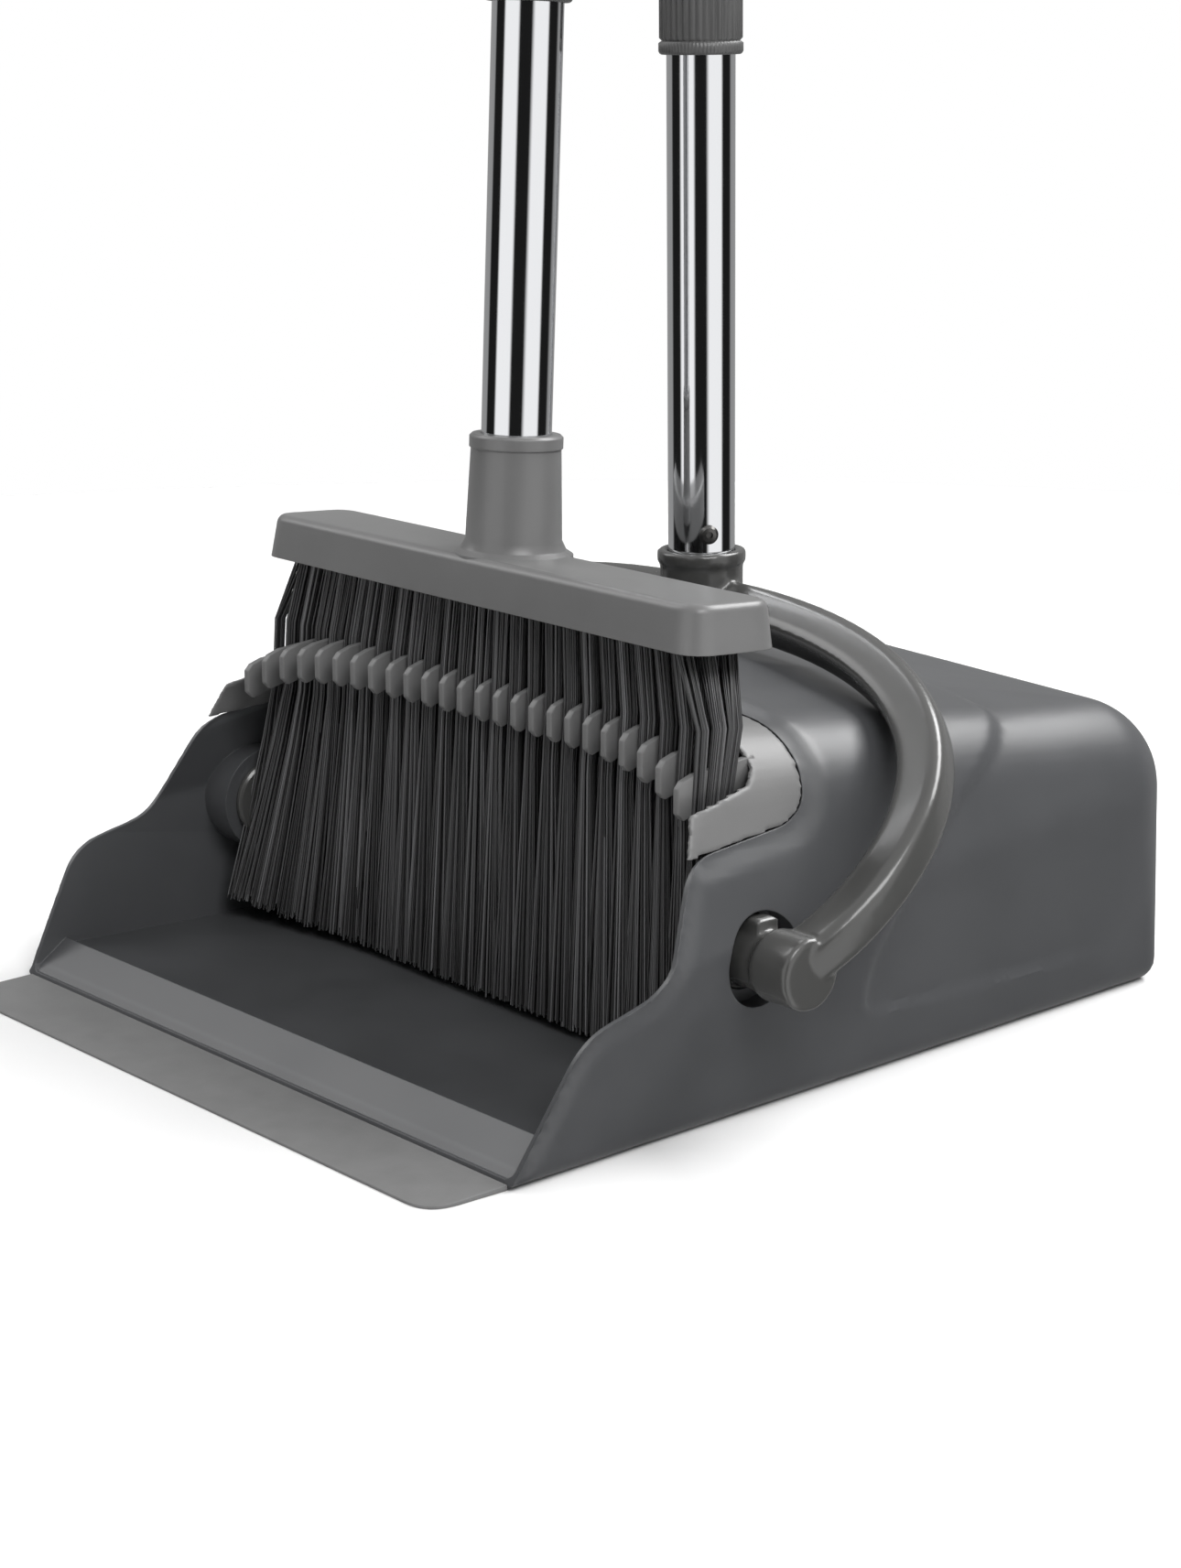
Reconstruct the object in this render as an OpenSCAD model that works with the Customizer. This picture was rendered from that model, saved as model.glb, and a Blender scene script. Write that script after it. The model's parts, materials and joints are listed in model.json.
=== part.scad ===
// Upright dustpan and brush set: a hooded pan that swings on a bail handle, with the broom
// standing in the pan and snapped into a clip on the pan's handle.
// +X to the right, +Y to the back, +Z up. The origin is the middle of the pan's flat underside.

/* [Pan] */
// Width of the pan between its side walls at the front edge
pan_w = 250; // [205:5:320]
// Depth of the pan from its front edge to its back
pan_depth = 280; // [230:2:340]
// Height of the hood over the comb
hood_h = 121; // [114:1:146]
// Fall of the hood's top towards the back, in degrees
hood_slope = 8.7; // [6:0.1:11]
// How far each side of the hood leans in at the front, from the pan's width
hood_lean_in = 8; // [4:0.5:11]
// How far each side of the hood leans in at the back, from the pan's width
hood_back_in = 9; // [6:0.5:20]
// Extra half width where the side walls flare out at the front
flare = 6; // [0:0.5:9]
// Thickness of the pan's walls
wall = 2.6; // [1.8:0.1:3.4]
// Height of the pan's floor above the ground
floor_z = 9; // [6:0.5:10]
// Depth of the ramp behind the front edge
ramp_depth = 13.5; // [10:0.5:20]
// Width of the ribs under the floor
under_rib = 8; // [4:1:14]

/* [Lip] */
// How far the soft lip reaches in front of the pan
lip_depth = 26; // [15:1:34]
// Thickness of the lip where it meets the pan
lip_t = 1.7; // [1.2:0.1:2.2]

/* [Comb] */
// Number of comb teeth
tooth_count = 25; // [15:2:31]
// Width of the comb's ears beside the teeth
ear_w = 10; // [8:0.5:16]
// Thickness of a tooth
tooth_t = 2.4; // [1.6:0.1:3]
// Height of a tooth at its tip
tooth_h = 11; // [8:0.5:13]
// Distance from the top of the hood down to the middle tooth's tip
comb_drop = 21; // [18:0.5:24]
// Free length of a tooth in front of the band
tooth_len = 19; // [12:1:20]
// Thickness of the comb's band
band_t = 3; // [2.2:0.1:4]

/* [Bail hinge] */
// Height of the hinge axis above the ground
hinge_z = 47; // [43:0.5:50]
// Distance of the hinge axis behind the front edge
hinge_y = 86; // [84:0.5:90]
// Diameter of the hinge pin
pin_d = 20; // [14:0.5:24]
// Width of the round recess outside the pin
recess_w = 3.5; // [2.5:0.1:4.5]
// Radial clearance between the pin and its bore
pin_gap = 0.08; // [0.03:0.01:0.1]
// Length of the pin's bearing in the pan
bearing_len = 6; // [5:0.5:8]
// Distance of the bail's centre line from the pan's side walls at its widest
bail_gap = 22; // [19:1:30]
// Distance of the bail's top bar behind the hinge axis
bail_back = 90.6; // [86:0.2:98]
// Height of the bar's centre line above the top of the hood
bail_lift = 11.2; // [11:0.1:16]
// Thickness of the bail in its own plane
bail_t = 15; // [11:0.5:15]
// Thickness of the bail across its plane
bail_b = 13; // [10:0.5:13]

/* [Handle tubes] */
// Outer diameter of the steel tubes
tube_d = 21; // [17:0.5:25.5]
// Wall of the steel tubes
tube_wall = 1; // [0.6:0.1:1.4]
// Length of a screw collar
collar_len = 43; // [36:1:50]
// Wall of a screw collar
collar_wall = 1.9; // [1.6:0.1:3]
// Clearance between a turning collar or the clip and the tube in it
slip_gap = 0.3; // [0.2:0.05:0.4]
// Visible length of a full tube between two collars
tube_len = 130; // [110:1:150]
// Visible length of the pan's first tube above its socket
pan_first_len = 151; // [130:1:170]
// Visible length of the pan's last tube under its grip
pan_last_len = 140; // [130:1:160]
// Visible length of the broom's first tube above its socket
broom_first_len = 124; // [110:1:140]
// Forward lean of the pan's handle, in degrees
handle_lean = 0.75; // [0:0.05:1.5]
// Height of the rim of the pan handle's socket above the bar's centre line
socket_lift = 17.2; // [15:0.2:22]

/* [Grips and clip] */
// Length of the grips
grip_len = 122; // [100:1:150]
// Wall of the grips round the tube
grip_wall = 4; // [3:0.5:5.5]
// Height of the clip's ring
clip_h = 40; // [30:1:44]
// Height of the clip's jaw
jaw_h = 33; // [24:1:36]
// Wall of the clip's ring and jaw
clip_wall = 3.4; // [2.6:0.1:4]
// Gap between the top of the pan's upper collar and the clip
clip_seat = 44; // [36:1:48]

/* [Broom] */
// How far the broom's head stops short of the pan's width at each end
head_short = 18; // [17:1:35]
// Depth of the broom's head at its lower edge
head_depth = 33; // [30:0.5:34]
// Height of the broom's head
head_h = 15; // [12:0.5:18]
// Height of the head's top at the socket, above the middle tooth's tip
head_lift = 43.5; // [42:0.5:50]
// Length of the broom's socket
broom_socket_len = 34; // [26:1:44]
// Lean of the broom behind the vertical, in degrees
broom_lean = 2.4; // [1.8:0.1:3]
// Turn of the broom's head about its handle, in degrees
head_yaw = -2; // [-2:0.5:0]
// Distance of the outermost bristles from the end of the head
bristle_inset = 12; // [10:1:20]
// How far the bristles spread at each end, at their tips
bristle_fan = 15; // [0:1:15]
// Depth of the bristles where they leave the head
bristle_depth = 22; // [18:0.5:23]
// Clearance between the bristles' block and each comb tooth
bristle_gap = 1; // [0.6:0.1:1.6]

/* [Hidden] */
$fn = 48;
eps = 0.01;
big = 400;

// pan: the outer form is one hull of balls, and the inner form is the same hull a wall smaller
form_fn = 24;
front_r = 6;
hood_r = 32;
hood_back_r = 28;
crown_r = 40;
crown_back_r = 30;
back_r = 7;
back_draft = 5;
hood_front_y = 80;
hood_w = pan_w - 2 * hood_lean_in;
hood_back_w = pan_w - 2 * hood_back_in;
hood_back_h = hood_top(pan_depth - crown_back_r) + crown_back_r * (1 - 1 / cos(hood_slope));
shoulder_z = hood_h - 11;
shoulder_back_z = hood_back_h - 4;
front_z = lip_t;
wall_profile = [[0, front_z], [21, 38.6], [50, 45.7], [66, hood_h - 44.6]];
comb_seam = [[105, hood_h - 41], [112, hood_h - 37], [115.5, hood_h - 28], [115.5, hood_h + 4]];
under_margin = 22;

// comb
tooth_z = hood_h - comb_drop;
ear_x = hood_w / 2 - ear_w;
tooth_span = ear_x - 3;
visor_front = [79, tooth_z + tooth_h / 2];
visor_back = [104.5, hood_h + 4];
band_y = visor_front[0] + tooth_len;
tooth_pitch = tooth_span / ((tooth_count - 1) / 2);
arch_drop = 10.5;
tooth_sweep = 6;
ear_back = comb_seam[3][0] + 1;
ear_cut = [[60, hood_h - 34], [73, hood_h - 33], [90, hood_h - 30], [ear_back, hood_h - 17],
           [ear_back, big], [60, big]];

// bail hinge
bore_r = pin_d / 2 + pin_gap;
recess_r = pin_d / 2 + recess_w;
boss_r = recess_r + 3.5;
hinge_wall_x = pan_w / 2 - 3;
recess_floor_x = hinge_wall_x - 4;
boss_x = recess_floor_x - bearing_len;
cap_t = 2.2;
cap_r = bore_r + 3;
bail_reach = hinge_wall_x + bail_gap;
bar_rise = hood_top(hinge_y + bail_back) + bail_lift - hinge_z;
bail_rise = norm([bail_back, bar_rise]);
bail_lean = atan2(bail_back, bar_rise);
knob_x = bail_reach + 1;
knob_d = pin_d + 0.5;
key_w = 7.5;
key_r = recess_r - 1.3;
rib_r = recess_r - 1;
// the bends keep this width and height, and a wider bail gets a straight run between them
bend_max_w = 144;
bend_w = min(bend_max_w, bail_reach);
bend_h = 89;
arch_foot = bail_rise - bend_h;
arch_n = 2.4;
arch_rings = 44;
arch_sides = 14;

// handle
tube_r = tube_d / 2;
tube_bore_r = tube_r - tube_wall;
core_r = tube_bore_r - 0.05;
flange_t = 2;
core_len = 40;
collar_bore_r = tube_r + slip_gap;
collar_r = collar_bore_r + collar_wall;
flutes = 36;
flute_depth = 0.45;
handle_y = hinge_y + bail_back - 0.6;
socket_z = hinge_z + bar_rise + socket_lift;
cup_wall = 2.5;
cup_r = tube_r + 0.05 + cup_wall;
cup_floor_t = 6;
cup_depth = 17;
spigot_len = 34;
screw_z = 6;
screw_angle = -30;
screw_r = 1.5;
screw_head_r = 3;
screw_len = 9;
tube_1_end = pan_first_len + collar_len / 2;
tube_2_end = tube_1_end + tube_len + collar_len;
pan_collar_z = [pan_first_len, pan_first_len + collar_len + tube_len];
pan_grip_z = pan_collar_z[1] + collar_len + pan_last_len;
grip_d = tube_d + 2 * grip_wall;
grip_bore = 60;
slot_w = 9;
slot_len = 22;
clip_z = pan_collar_z[1] + collar_len + clip_seat;
jaw_gap = slip_gap;
jaw_mouth = 100;

// broom: its frame stands on the socket's foot, at the top of the head
broom_y = 100.2;
head_top_z = tooth_z + head_lift;
head_len = pan_w - 2 * head_short;
bristle_w = head_len - 2 * bristle_inset;
broom_first_z = broom_socket_len + broom_first_len;
broom_collar_z = [for (i = [0:2]) broom_first_z + i * (collar_len + tube_len)];
broom_grip_z = broom_collar_z[2] + collar_len + tube_len + 10;
socket_foot_r = tube_r + 4;
socket_top_r = tube_r + 2.9;
head_shift = -3.5;
tube_seat = -5;

// height of the hood's top at a distance y behind the front edge
function hood_top(y) = hood_h - crown_r
    + (crown_r - (y - hood_front_y) * sin(hood_slope)) / cos(hood_slope);
function visor_z(y) = visor_front[1]
    + (y - visor_front[0]) * (visor_back[1] - visor_front[1]) / (visor_back[0] - visor_front[0]);
function tip_z(x) = tooth_z - arch_drop * pow(abs(x) / tooth_span, 6);
function tip_y(x) = visor_front[0] - tooth_sweep * pow(x / tooth_span, 2);
function signed_pow(v, p) = sign(v) * pow(abs(v), p);

module centred() { translate([0, -pan_depth / 2, 0]) children(); }

// a prism of a side-view outline of [y, z] points, running along X
module along_x(outline, half) {
    rotate([90, 0, 90]) translate([0, 0, -half]) linear_extrude(2 * half) polygon(outline);
}

module both_sides() {
    children();
    mirror([1, 0, 0]) children();
}

module ball(x, y, z, r) { translate([x, y, z]) sphere(r, $fn = form_fn); }

// the pan's closed outer form, taken in by `inset`
module pan_form(inset) {
    half = pan_w / 2;
    hull() {
        both_sides() {
            ball(half - front_r, -front_r, front_r, front_r - inset);
            ball(half + flare - front_r, front_r, 46, front_r - inset);
            ball(hood_w / 2 - hood_r, hood_front_y, shoulder_z - hood_r, hood_r - inset);
            ball(hood_back_w / 2 - hood_back_r, pan_depth - hood_back_r,
                 shoulder_back_z - hood_back_r, hood_back_r - inset);
            ball(hood_back_w / 2 - back_draft - back_r, pan_depth - back_draft - back_r, back_r,
                 back_r - inset);
        }
        ball(0, hood_front_y, hood_h - crown_r, crown_r - inset);
        ball(0, pan_depth - crown_back_r, hood_back_h - crown_back_r, crown_back_r - inset);
    }
}

// the space inside the pan, over the ramp and the floor
module pan_space() {
    intersection() {
        pan_form(wall);
        along_x([[-60, front_z], [0, front_z], [ramp_depth, floor_z + 1.8], [ramp_depth + 3, floor_z],
                 [pan_depth, floor_z], [pan_depth, big], [-60, big]], big);
    }
}

// one of the four hollows under the floor
module under_hollow(near, far) {
    translate([under_rib / 2, near, -1])
        cube([pan_w / 2 - under_margin - 8 - under_rib / 2, far - near, floor_z - wall + 1]);
}

module hinge_boss() {
    translate([boss_x, hinge_y, hinge_z]) rotate([0, 90, 0]) cylinder(h = 40, r = boss_r);
}

module hinge_bore() {
    translate([boss_x - 1, hinge_y, hinge_z]) rotate([0, 90, 0])
        cylinder(h = hinge_wall_x, r = bore_r);
    translate([recess_floor_x, hinge_y, hinge_z]) rotate([0, 90, 0])
        cylinder(h = 30, r = recess_r);
}

// two small detent ribs on the front of the recess
module detent_ribs() {
    for (side = [-1, 1])
        translate([recess_floor_x - 0.5, hinge_y - recess_r - 0.6, hinge_z + side * 2.6 - 0.8])
            cube([5, recess_r - rib_r + 0.6, 1.6]);
}

module pan_shell() {
    mid = pan_depth / 2;
    color("#4a4b4e") {
        difference() {
            union() {
                difference() {
                    pan_form(0);
                    pan_space();
                }
                intersection() {
                    both_sides() hinge_boss();
                    pan_form(wall / 2);
                }
            }
            along_x(concat([[-60, -5], [0, -5]], wall_profile, comb_seam,
                           [[comb_seam[3][0], big], [-60, big]]), big);
            both_sides() {
                hinge_bore();
                under_hollow(under_margin, mid - under_rib / 2);
                under_hollow(mid + under_rib / 2, pan_depth - under_margin);
            }
        }
        both_sides() detent_ribs();
    }
}

// one tooth's side view: a blunt chamfered tip that runs back into the band
module tooth(x, grow) {
    y = tip_y(x);
    z = tip_z(x);
    h = tooth_h / 2;
    translate([x, 0, 0])
        along_x([[y - grow, z - h + 2 - grow], [y + 2, z - h - grow], [band_y + 4, z - h + 7 - grow],
                 [band_y + 4, visor_z(band_y + 4) + 4 * grow], [y + 4, visor_z(y + 4) + 4 * grow],
                 [y + 2, z + h + 3 * grow], [y - grow, z + h - 2.5 + 3 * grow]],
                tooth_t / 2 + grow);
}

module teeth(grow) {
    for (i = [-(tooth_count - 1) / 2:(tooth_count - 1) / 2]) tooth(i * tooth_pitch, grow);
}

module comb() {
    color("#6d6d6d") {
        difference() {
            intersection() {
                pan_form(0);
                along_x(concat([wall_profile[3]], comb_seam,
                               [visor_back, visor_front, [72.5, hood_h - 29]]), big);
            }
            intersection() {
                pan_form(wall);
                along_x([[50, 50], [140, 50], [140, visor_z(140) - band_t],
                         [60, visor_z(60) - band_t]], big);
            }
            translate([-ear_x, 0, 0]) cube([2 * ear_x, band_y, 200]);
            both_sides() translate([ear_x + 100, 0, 0]) along_x(ear_cut, 100);
        }
        intersection() {
            teeth(0);
            pan_form(0.4);
        }
    }
}

module lip_strip() {
    corner = 10;
    half = pan_w / 2 - 4;
    color("#7f7f7f") hull() {
        translate([-half, -4, 0]) cube([2 * half, 4, lip_t]);
        both_sides() translate([half - corner, -lip_depth + corner, 0]) cylinder(h = 0.9, r = corner);
    }
}

// the bail's centre line in its own plane: x across, s away from the hinge axis
function arch_point(t) =
    let (foot = asin(pow(arch_foot / bend_h, arch_n / 2)),
         a = -foot + t * (180 + 2 * foot))
    [(bail_reach - bend_w) * sign(cos(a)) + bend_w * signed_pow(cos(a), 2 / arch_n),
     arch_foot + bend_h * signed_pow(sin(a), 2 / arch_n)];

// a ring of points round the centre line, square to it
function arch_ring(i) =
    let (t = i / arch_rings,
         p = arch_point(t),
         ahead = arch_point(t + 0.002) - arch_point(t - 0.002),
         n = [-ahead[1], ahead[0]] / norm(ahead),
         along_y = [0, sin(bail_lean), cos(bail_lean)],
         across = [0, cos(bail_lean), -sin(bail_lean)])
    [for (k = [0:arch_sides - 1])
        let (a = 360 * k / arch_sides,
             u = bail_t / 2 * signed_pow(cos(a), 0.8),
             v = bail_b / 2 * signed_pow(sin(a), 0.8),
             q = p + n * u)
        [q[0], hinge_y, hinge_z] + along_y * q[1] + across * v];

module bail_arch() {
    rings = [for (i = [0:arch_rings]) each arch_ring(i)];
    polyhedron(points = rings, faces = concat(
        [[for (k = [arch_sides - 1:-1:0]) k]],
        [[for (k = [0:arch_sides - 1]) arch_rings * arch_sides + k]],
        [for (i = [0:arch_rings - 1]) for (k = [0:arch_sides - 1])
            let (a = i * arch_sides + k, b = i * arch_sides + (k + 1) % arch_sides)
            [a, b, a + arch_sides]],
        [for (i = [0:arch_rings - 1]) for (k = [0:arch_sides - 1])
            let (a = i * arch_sides + k, b = i * arch_sides + (k + 1) % arch_sides)
            [a + arch_sides, b, b + arch_sides]]));
}

// the knob outside, the pin through the wall and the key that slides past the detent ribs
module hinge_pin() {
    inner_x = boss_x - 0.3;
    knob_in = knob_x - 16;
    translate([0, hinge_y, hinge_z]) {
        rotate([0, 90, 0]) rotate_extrude() polygon([[0, inner_x], [pin_d / 2, inner_x],
            [pin_d / 2, knob_in], [knob_d / 2, knob_in], [knob_d / 2, knob_x - 1],
            [knob_d / 2 - 1, knob_x], [0, knob_x]]);
        translate([recess_floor_x + 0.4, -key_w / 2, 0]) cube([9, key_w, key_r]);
    }
}

// stands on the rim of the pan handle's socket, with +Z along the tubes
module on_pan_handle() {
    translate([0, handle_y, socket_z]) rotate([handle_lean, 0, 0]) children();
}

module bail_handle() {
    color("#565453") difference() {
        union() {
            bail_arch();
            both_sides() hinge_pin();
            on_pan_handle() {
                translate([0, 0, -cup_depth - cup_floor_t])
                    cylinder(h = cup_depth + cup_floor_t, r = cup_r);
                translate([0, 0, -3]) cylinder(h = 3, r = cup_r + 0.6);
            }
        }
        on_pan_handle() difference() {
            translate([0, 0, -cup_depth]) cylinder(h = 60, r = tube_r + 0.05);
            translate([0, 0, -cup_depth - 1]) cylinder(h = spigot_len + 1, r = core_r);
        }
        on_pan_handle() rotate([0, 0, screw_angle]) translate([0, 0, screw_z]) rotate([0, 90, 0])
            cylinder(h = 20, r = screw_r);
    }
}

module pivot_caps() {
    color("#454545") both_sides() translate([boss_x - 0.3 - cap_t, hinge_y, hinge_z])
        rotate([0, 90, 0]) cylinder(h = cap_t, r = cap_r);
}

module tube_screw() {
    color("#3a3a3a") on_pan_handle() rotate([0, 0, screw_angle])
        translate([0, 0, screw_z]) rotate([0, 90, 0]) {
            translate([0, 0, tube_r - screw_len]) cylinder(h = screw_len + 0.6, r = screw_r);
            translate([0, 0, tube_r + 0.1]) cylinder(h = 1.4, r1 = screw_head_r, r2 = screw_head_r - 1);
        }
}

// a length of steel tube between two heights of its own frame
module steel_tube(low, high) {
    color("#c9cacb") difference() {
        translate([0, 0, low]) cylinder(h = high - low, r = tube_r);
        translate([0, 0, low - 1]) cylinder(h = high - low + 2, r = tube_bore_r);
    }
}

// the plug that joins two tubes, with a flange between their ends
module joiner(z) {
    color("#3c3c3c") translate([0, 0, z]) {
        translate([0, 0, -core_len / 2]) cylinder(h = core_len, r = core_r);
        translate([0, 0, -flange_t / 2]) cylinder(h = flange_t, r = tube_r);
    }
}

module collar(z) {
    points = [for (k = [0:2 * flutes - 1])
        (collar_r - (k % 2) * flute_depth) * [cos(180 * k / flutes), sin(180 * k / flutes)]];
    color("#454545") translate([0, 0, z + slip_gap]) difference() {
        union() {
            linear_extrude(collar_len - 2 * slip_gap) polygon(points);
            cylinder(h = 4, r = collar_r + 0.3);
            translate([0, 0, collar_len - 2 * slip_gap - 3]) cylinder(h = 3, r = collar_r);
        }
        translate([0, 0, -1]) cylinder(h = collar_len + 2, r = collar_bore_r);
    }
}

// a moulded grip: slim waist, rounded flat top with a slot to hang it by
module grip(z) {
    slot_z = grip_len - 9 - slot_len / 2;
    color("#474747") translate([0, 0, z]) difference() {
        union() {
            cylinder(h = 6, r1 = tube_r + 2, r2 = grip_d / 2 - 0.6);
            translate([0, 0, 6]) cylinder(h = grip_len - 46, r1 = grip_d / 2 - 0.6, r2 = grip_d / 2);
            hull() {
                translate([0, 0, grip_len - 40]) cylinder(h = 1, r = grip_d / 2, $fn = 32);
                translate([0, 0, grip_len - grip_d / 2]) rotate([90, 0, 0])
                    cylinder(h = 17, r = grip_d / 2, center = true, $fn = 32);
            }
        }
        translate([0, 0, -1]) cylinder(h = grip_bore + 1, r = tube_r + 0.05);
        for (end = [-1, 1]) translate([0, 0, slot_z + end * (slot_len - slot_w) / 2])
            rotate([90, 0, 0]) cylinder(h = 60, r = slot_w / 2, center = true);
        translate([-slot_w / 2, -30, slot_z - (slot_len - slot_w) / 2])
            cube([slot_w, 60, slot_len - slot_w]);
    }
}

// stands on the foot of the broom's socket, with +Z along the broom's tubes
module on_broom() {
    translate([0, broom_y, head_top_z]) rotate([-broom_lean, 0, 0]) children();
}

// height in the broom's frame of a height in the pan handle's frame
function to_broom(z) = (socket_z + z * cos(handle_lean) - head_top_z) / cos(broom_lean);

module handle_clip() {
    mid = clip_z + clip_h / 2;
    jaw_z = to_broom(mid) - jaw_h / 2;
    jaw_r = tube_r + jaw_gap + clip_wall;
    reach = handle_y - broom_y - mid * sin(handle_lean) - (jaw_z + jaw_h / 2) * sin(broom_lean);
    color("#808080") difference() {
        union() {
            on_pan_handle() {
                translate([0, 0, clip_z]) cylinder(h = clip_h, r = tube_r + slip_gap + clip_wall);
                translate([-5, -reach + tube_r + jaw_gap + 1, mid - jaw_h / 2 + 4])
                    cube([10, reach - 2 * tube_r - 1, jaw_h - 8]);
            }
            on_broom() translate([0, 0, jaw_z]) cylinder(h = jaw_h, r = jaw_r);
        }
        on_pan_handle() translate([0, 0, clip_z - 1]) cylinder(h = clip_h + 2, r = tube_r + slip_gap);
        on_broom() translate([0, 0, jaw_z - 1]) {
            cylinder(h = jaw_h + 2, r = tube_r + jaw_gap);
            linear_extrude(jaw_h + 2) polygon([[0, 0], [-40 * sin(jaw_mouth / 2), -40 * cos(jaw_mouth / 2)],
                [0, -60], [40 * sin(jaw_mouth / 2), -40 * cos(jaw_mouth / 2)]]);
        }
    }
}

// a slab with round corners, centred on the head
module head_slab(z, len, depth, shift, r) {
    translate([0, shift, z]) for (x = [-1, 1], y = [-1, 1])
        translate([x * (len / 2 - r), y * (depth / 2 - r), 0]) cylinder(h = 1, r = r, $fn = 32);
}

module broom_head() {
    color("#7d7d7d") on_broom() difference() {
        union() {
            rotate([0, 0, head_yaw]) {
                hull() {
                    head_slab(-head_h, head_len, head_depth, head_shift, 9);
                    head_slab(-4, head_len - 5, head_depth - 6, head_shift + 0.5, 8);
                    head_slab(-1, head_len - 12, head_depth - 13, head_shift + 1.5, 6);
                }
            }
            translate([0, 0, -8]) cylinder(h = 8 + broom_socket_len, r1 = socket_foot_r, r2 = socket_top_r);
            translate([0, 0, broom_socket_len - 4]) cylinder(h = 4, r = socket_top_r + 0.7);
        }
        translate([0, 0, tube_seat]) cylinder(h = 80, r = tube_r + 0.05);
    }
}

// one height of the bristles' block, in the yawed frame of the head
module bristle_slab(z, half, front, back) {
    translate([-half, front, z]) cube([2 * half, back - front, eps]);
}

module bristles() {
    top = -head_h;
    tips = floor_z + 0.6 - head_top_z;
    mid = tooth_z + 2 - head_top_z;
    half = bristle_w / 2;
    front = -bristle_depth / 2 + head_shift - 0.8;
    back = front + bristle_depth;
    mid_back = band_y - 5.2 - broom_y;
    color("#2b2b2b") difference() {
        on_broom() rotate([0, 0, head_yaw]) {
            hull() {
                bristle_slab(top - eps, half, front, back);
                bristle_slab(mid, half + 3, front - 0.5, mid_back);
            }
            hull() {
                bristle_slab(mid, half + 3, front - 0.5, mid_back);
                bristle_slab(tips, half + bristle_fan, front - 1, mid_back + 3);
            }
        }
        teeth(bristle_gap);
        along_x([[band_y - 1.5, tooth_z], [band_y - 1.5, visor_z(band_y) + 2],
                 [visor_back[0] + 6, visor_back[1] + 3], [visor_back[0] + 30, tooth_z]], big);
    }
}

centred() pan_shell();
centred() comb();
centred() lip_strip();
centred() bail_handle();
centred() pivot_caps();
centred() tube_screw();
centred() on_pan_handle() difference() {  // pan_tube_lower
        steel_tube(-cup_depth, tube_1_end - flange_t / 2);
        rotate([0, 0, screw_angle]) translate([0, 0, screw_z]) rotate([0, 90, 0])
            cylinder(h = 20, r = screw_r + 0.1);
    }
centred() on_pan_handle() steel_tube(tube_1_end + flange_t / 2, tube_2_end - flange_t / 2);  // pan_tube_middle
centred() on_pan_handle() steel_tube(tube_2_end + flange_t / 2, pan_grip_z + grip_bore);  // pan_tube_upper
centred() on_pan_handle() joiner(tube_1_end);  // pan_joiner_lower
centred() on_pan_handle() joiner(tube_2_end);  // pan_joiner_upper
centred() on_pan_handle() collar(pan_collar_z[0]);  // pan_collar_lower
centred() on_pan_handle() collar(pan_collar_z[1]);  // pan_collar_upper
centred() on_pan_handle() grip(pan_grip_z);  // pan_grip
centred() handle_clip();
centred() broom_head();
centred() bristles();
centred() on_broom() steel_tube(tube_seat, broom_collar_z[0] + collar_len / 2 - flange_t / 2);  // broom_tube_1
centred() on_broom() steel_tube(broom_collar_z[0] + collar_len / 2 + flange_t / 2,  // broom_tube_2
                                    broom_collar_z[1] + collar_len / 2 - flange_t / 2);
centred() on_broom() steel_tube(broom_collar_z[1] + collar_len / 2 + flange_t / 2,  // broom_tube_3
                                    broom_collar_z[2] + collar_len / 2 - flange_t / 2);
centred() on_broom() steel_tube(broom_collar_z[2] + collar_len / 2 + flange_t / 2,  // broom_tube_4
                                    broom_grip_z + grip_bore);
centred() on_broom() joiner(broom_collar_z[0] + collar_len / 2);  // broom_joiner_1
centred() on_broom() joiner(broom_collar_z[1] + collar_len / 2);  // broom_joiner_2
centred() on_broom() joiner(broom_collar_z[2] + collar_len / 2);  // broom_joiner_3
centred() on_broom() collar(broom_collar_z[0]);  // broom_collar_1
centred() on_broom() collar(broom_collar_z[1]);  // broom_collar_2
centred() on_broom() collar(broom_collar_z[2]);  // broom_collar_3
centred() on_broom() grip(broom_grip_z);  // broom_grip
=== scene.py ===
"""Upright dustpan and brush set: the visible pieces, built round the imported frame."""
import json
import math
import random

import bmesh
import bpy
from bpy.props import FloatProperty, FloatVectorProperty, IntProperty, PointerProperty
from mathutils import Matrix, Vector


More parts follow.
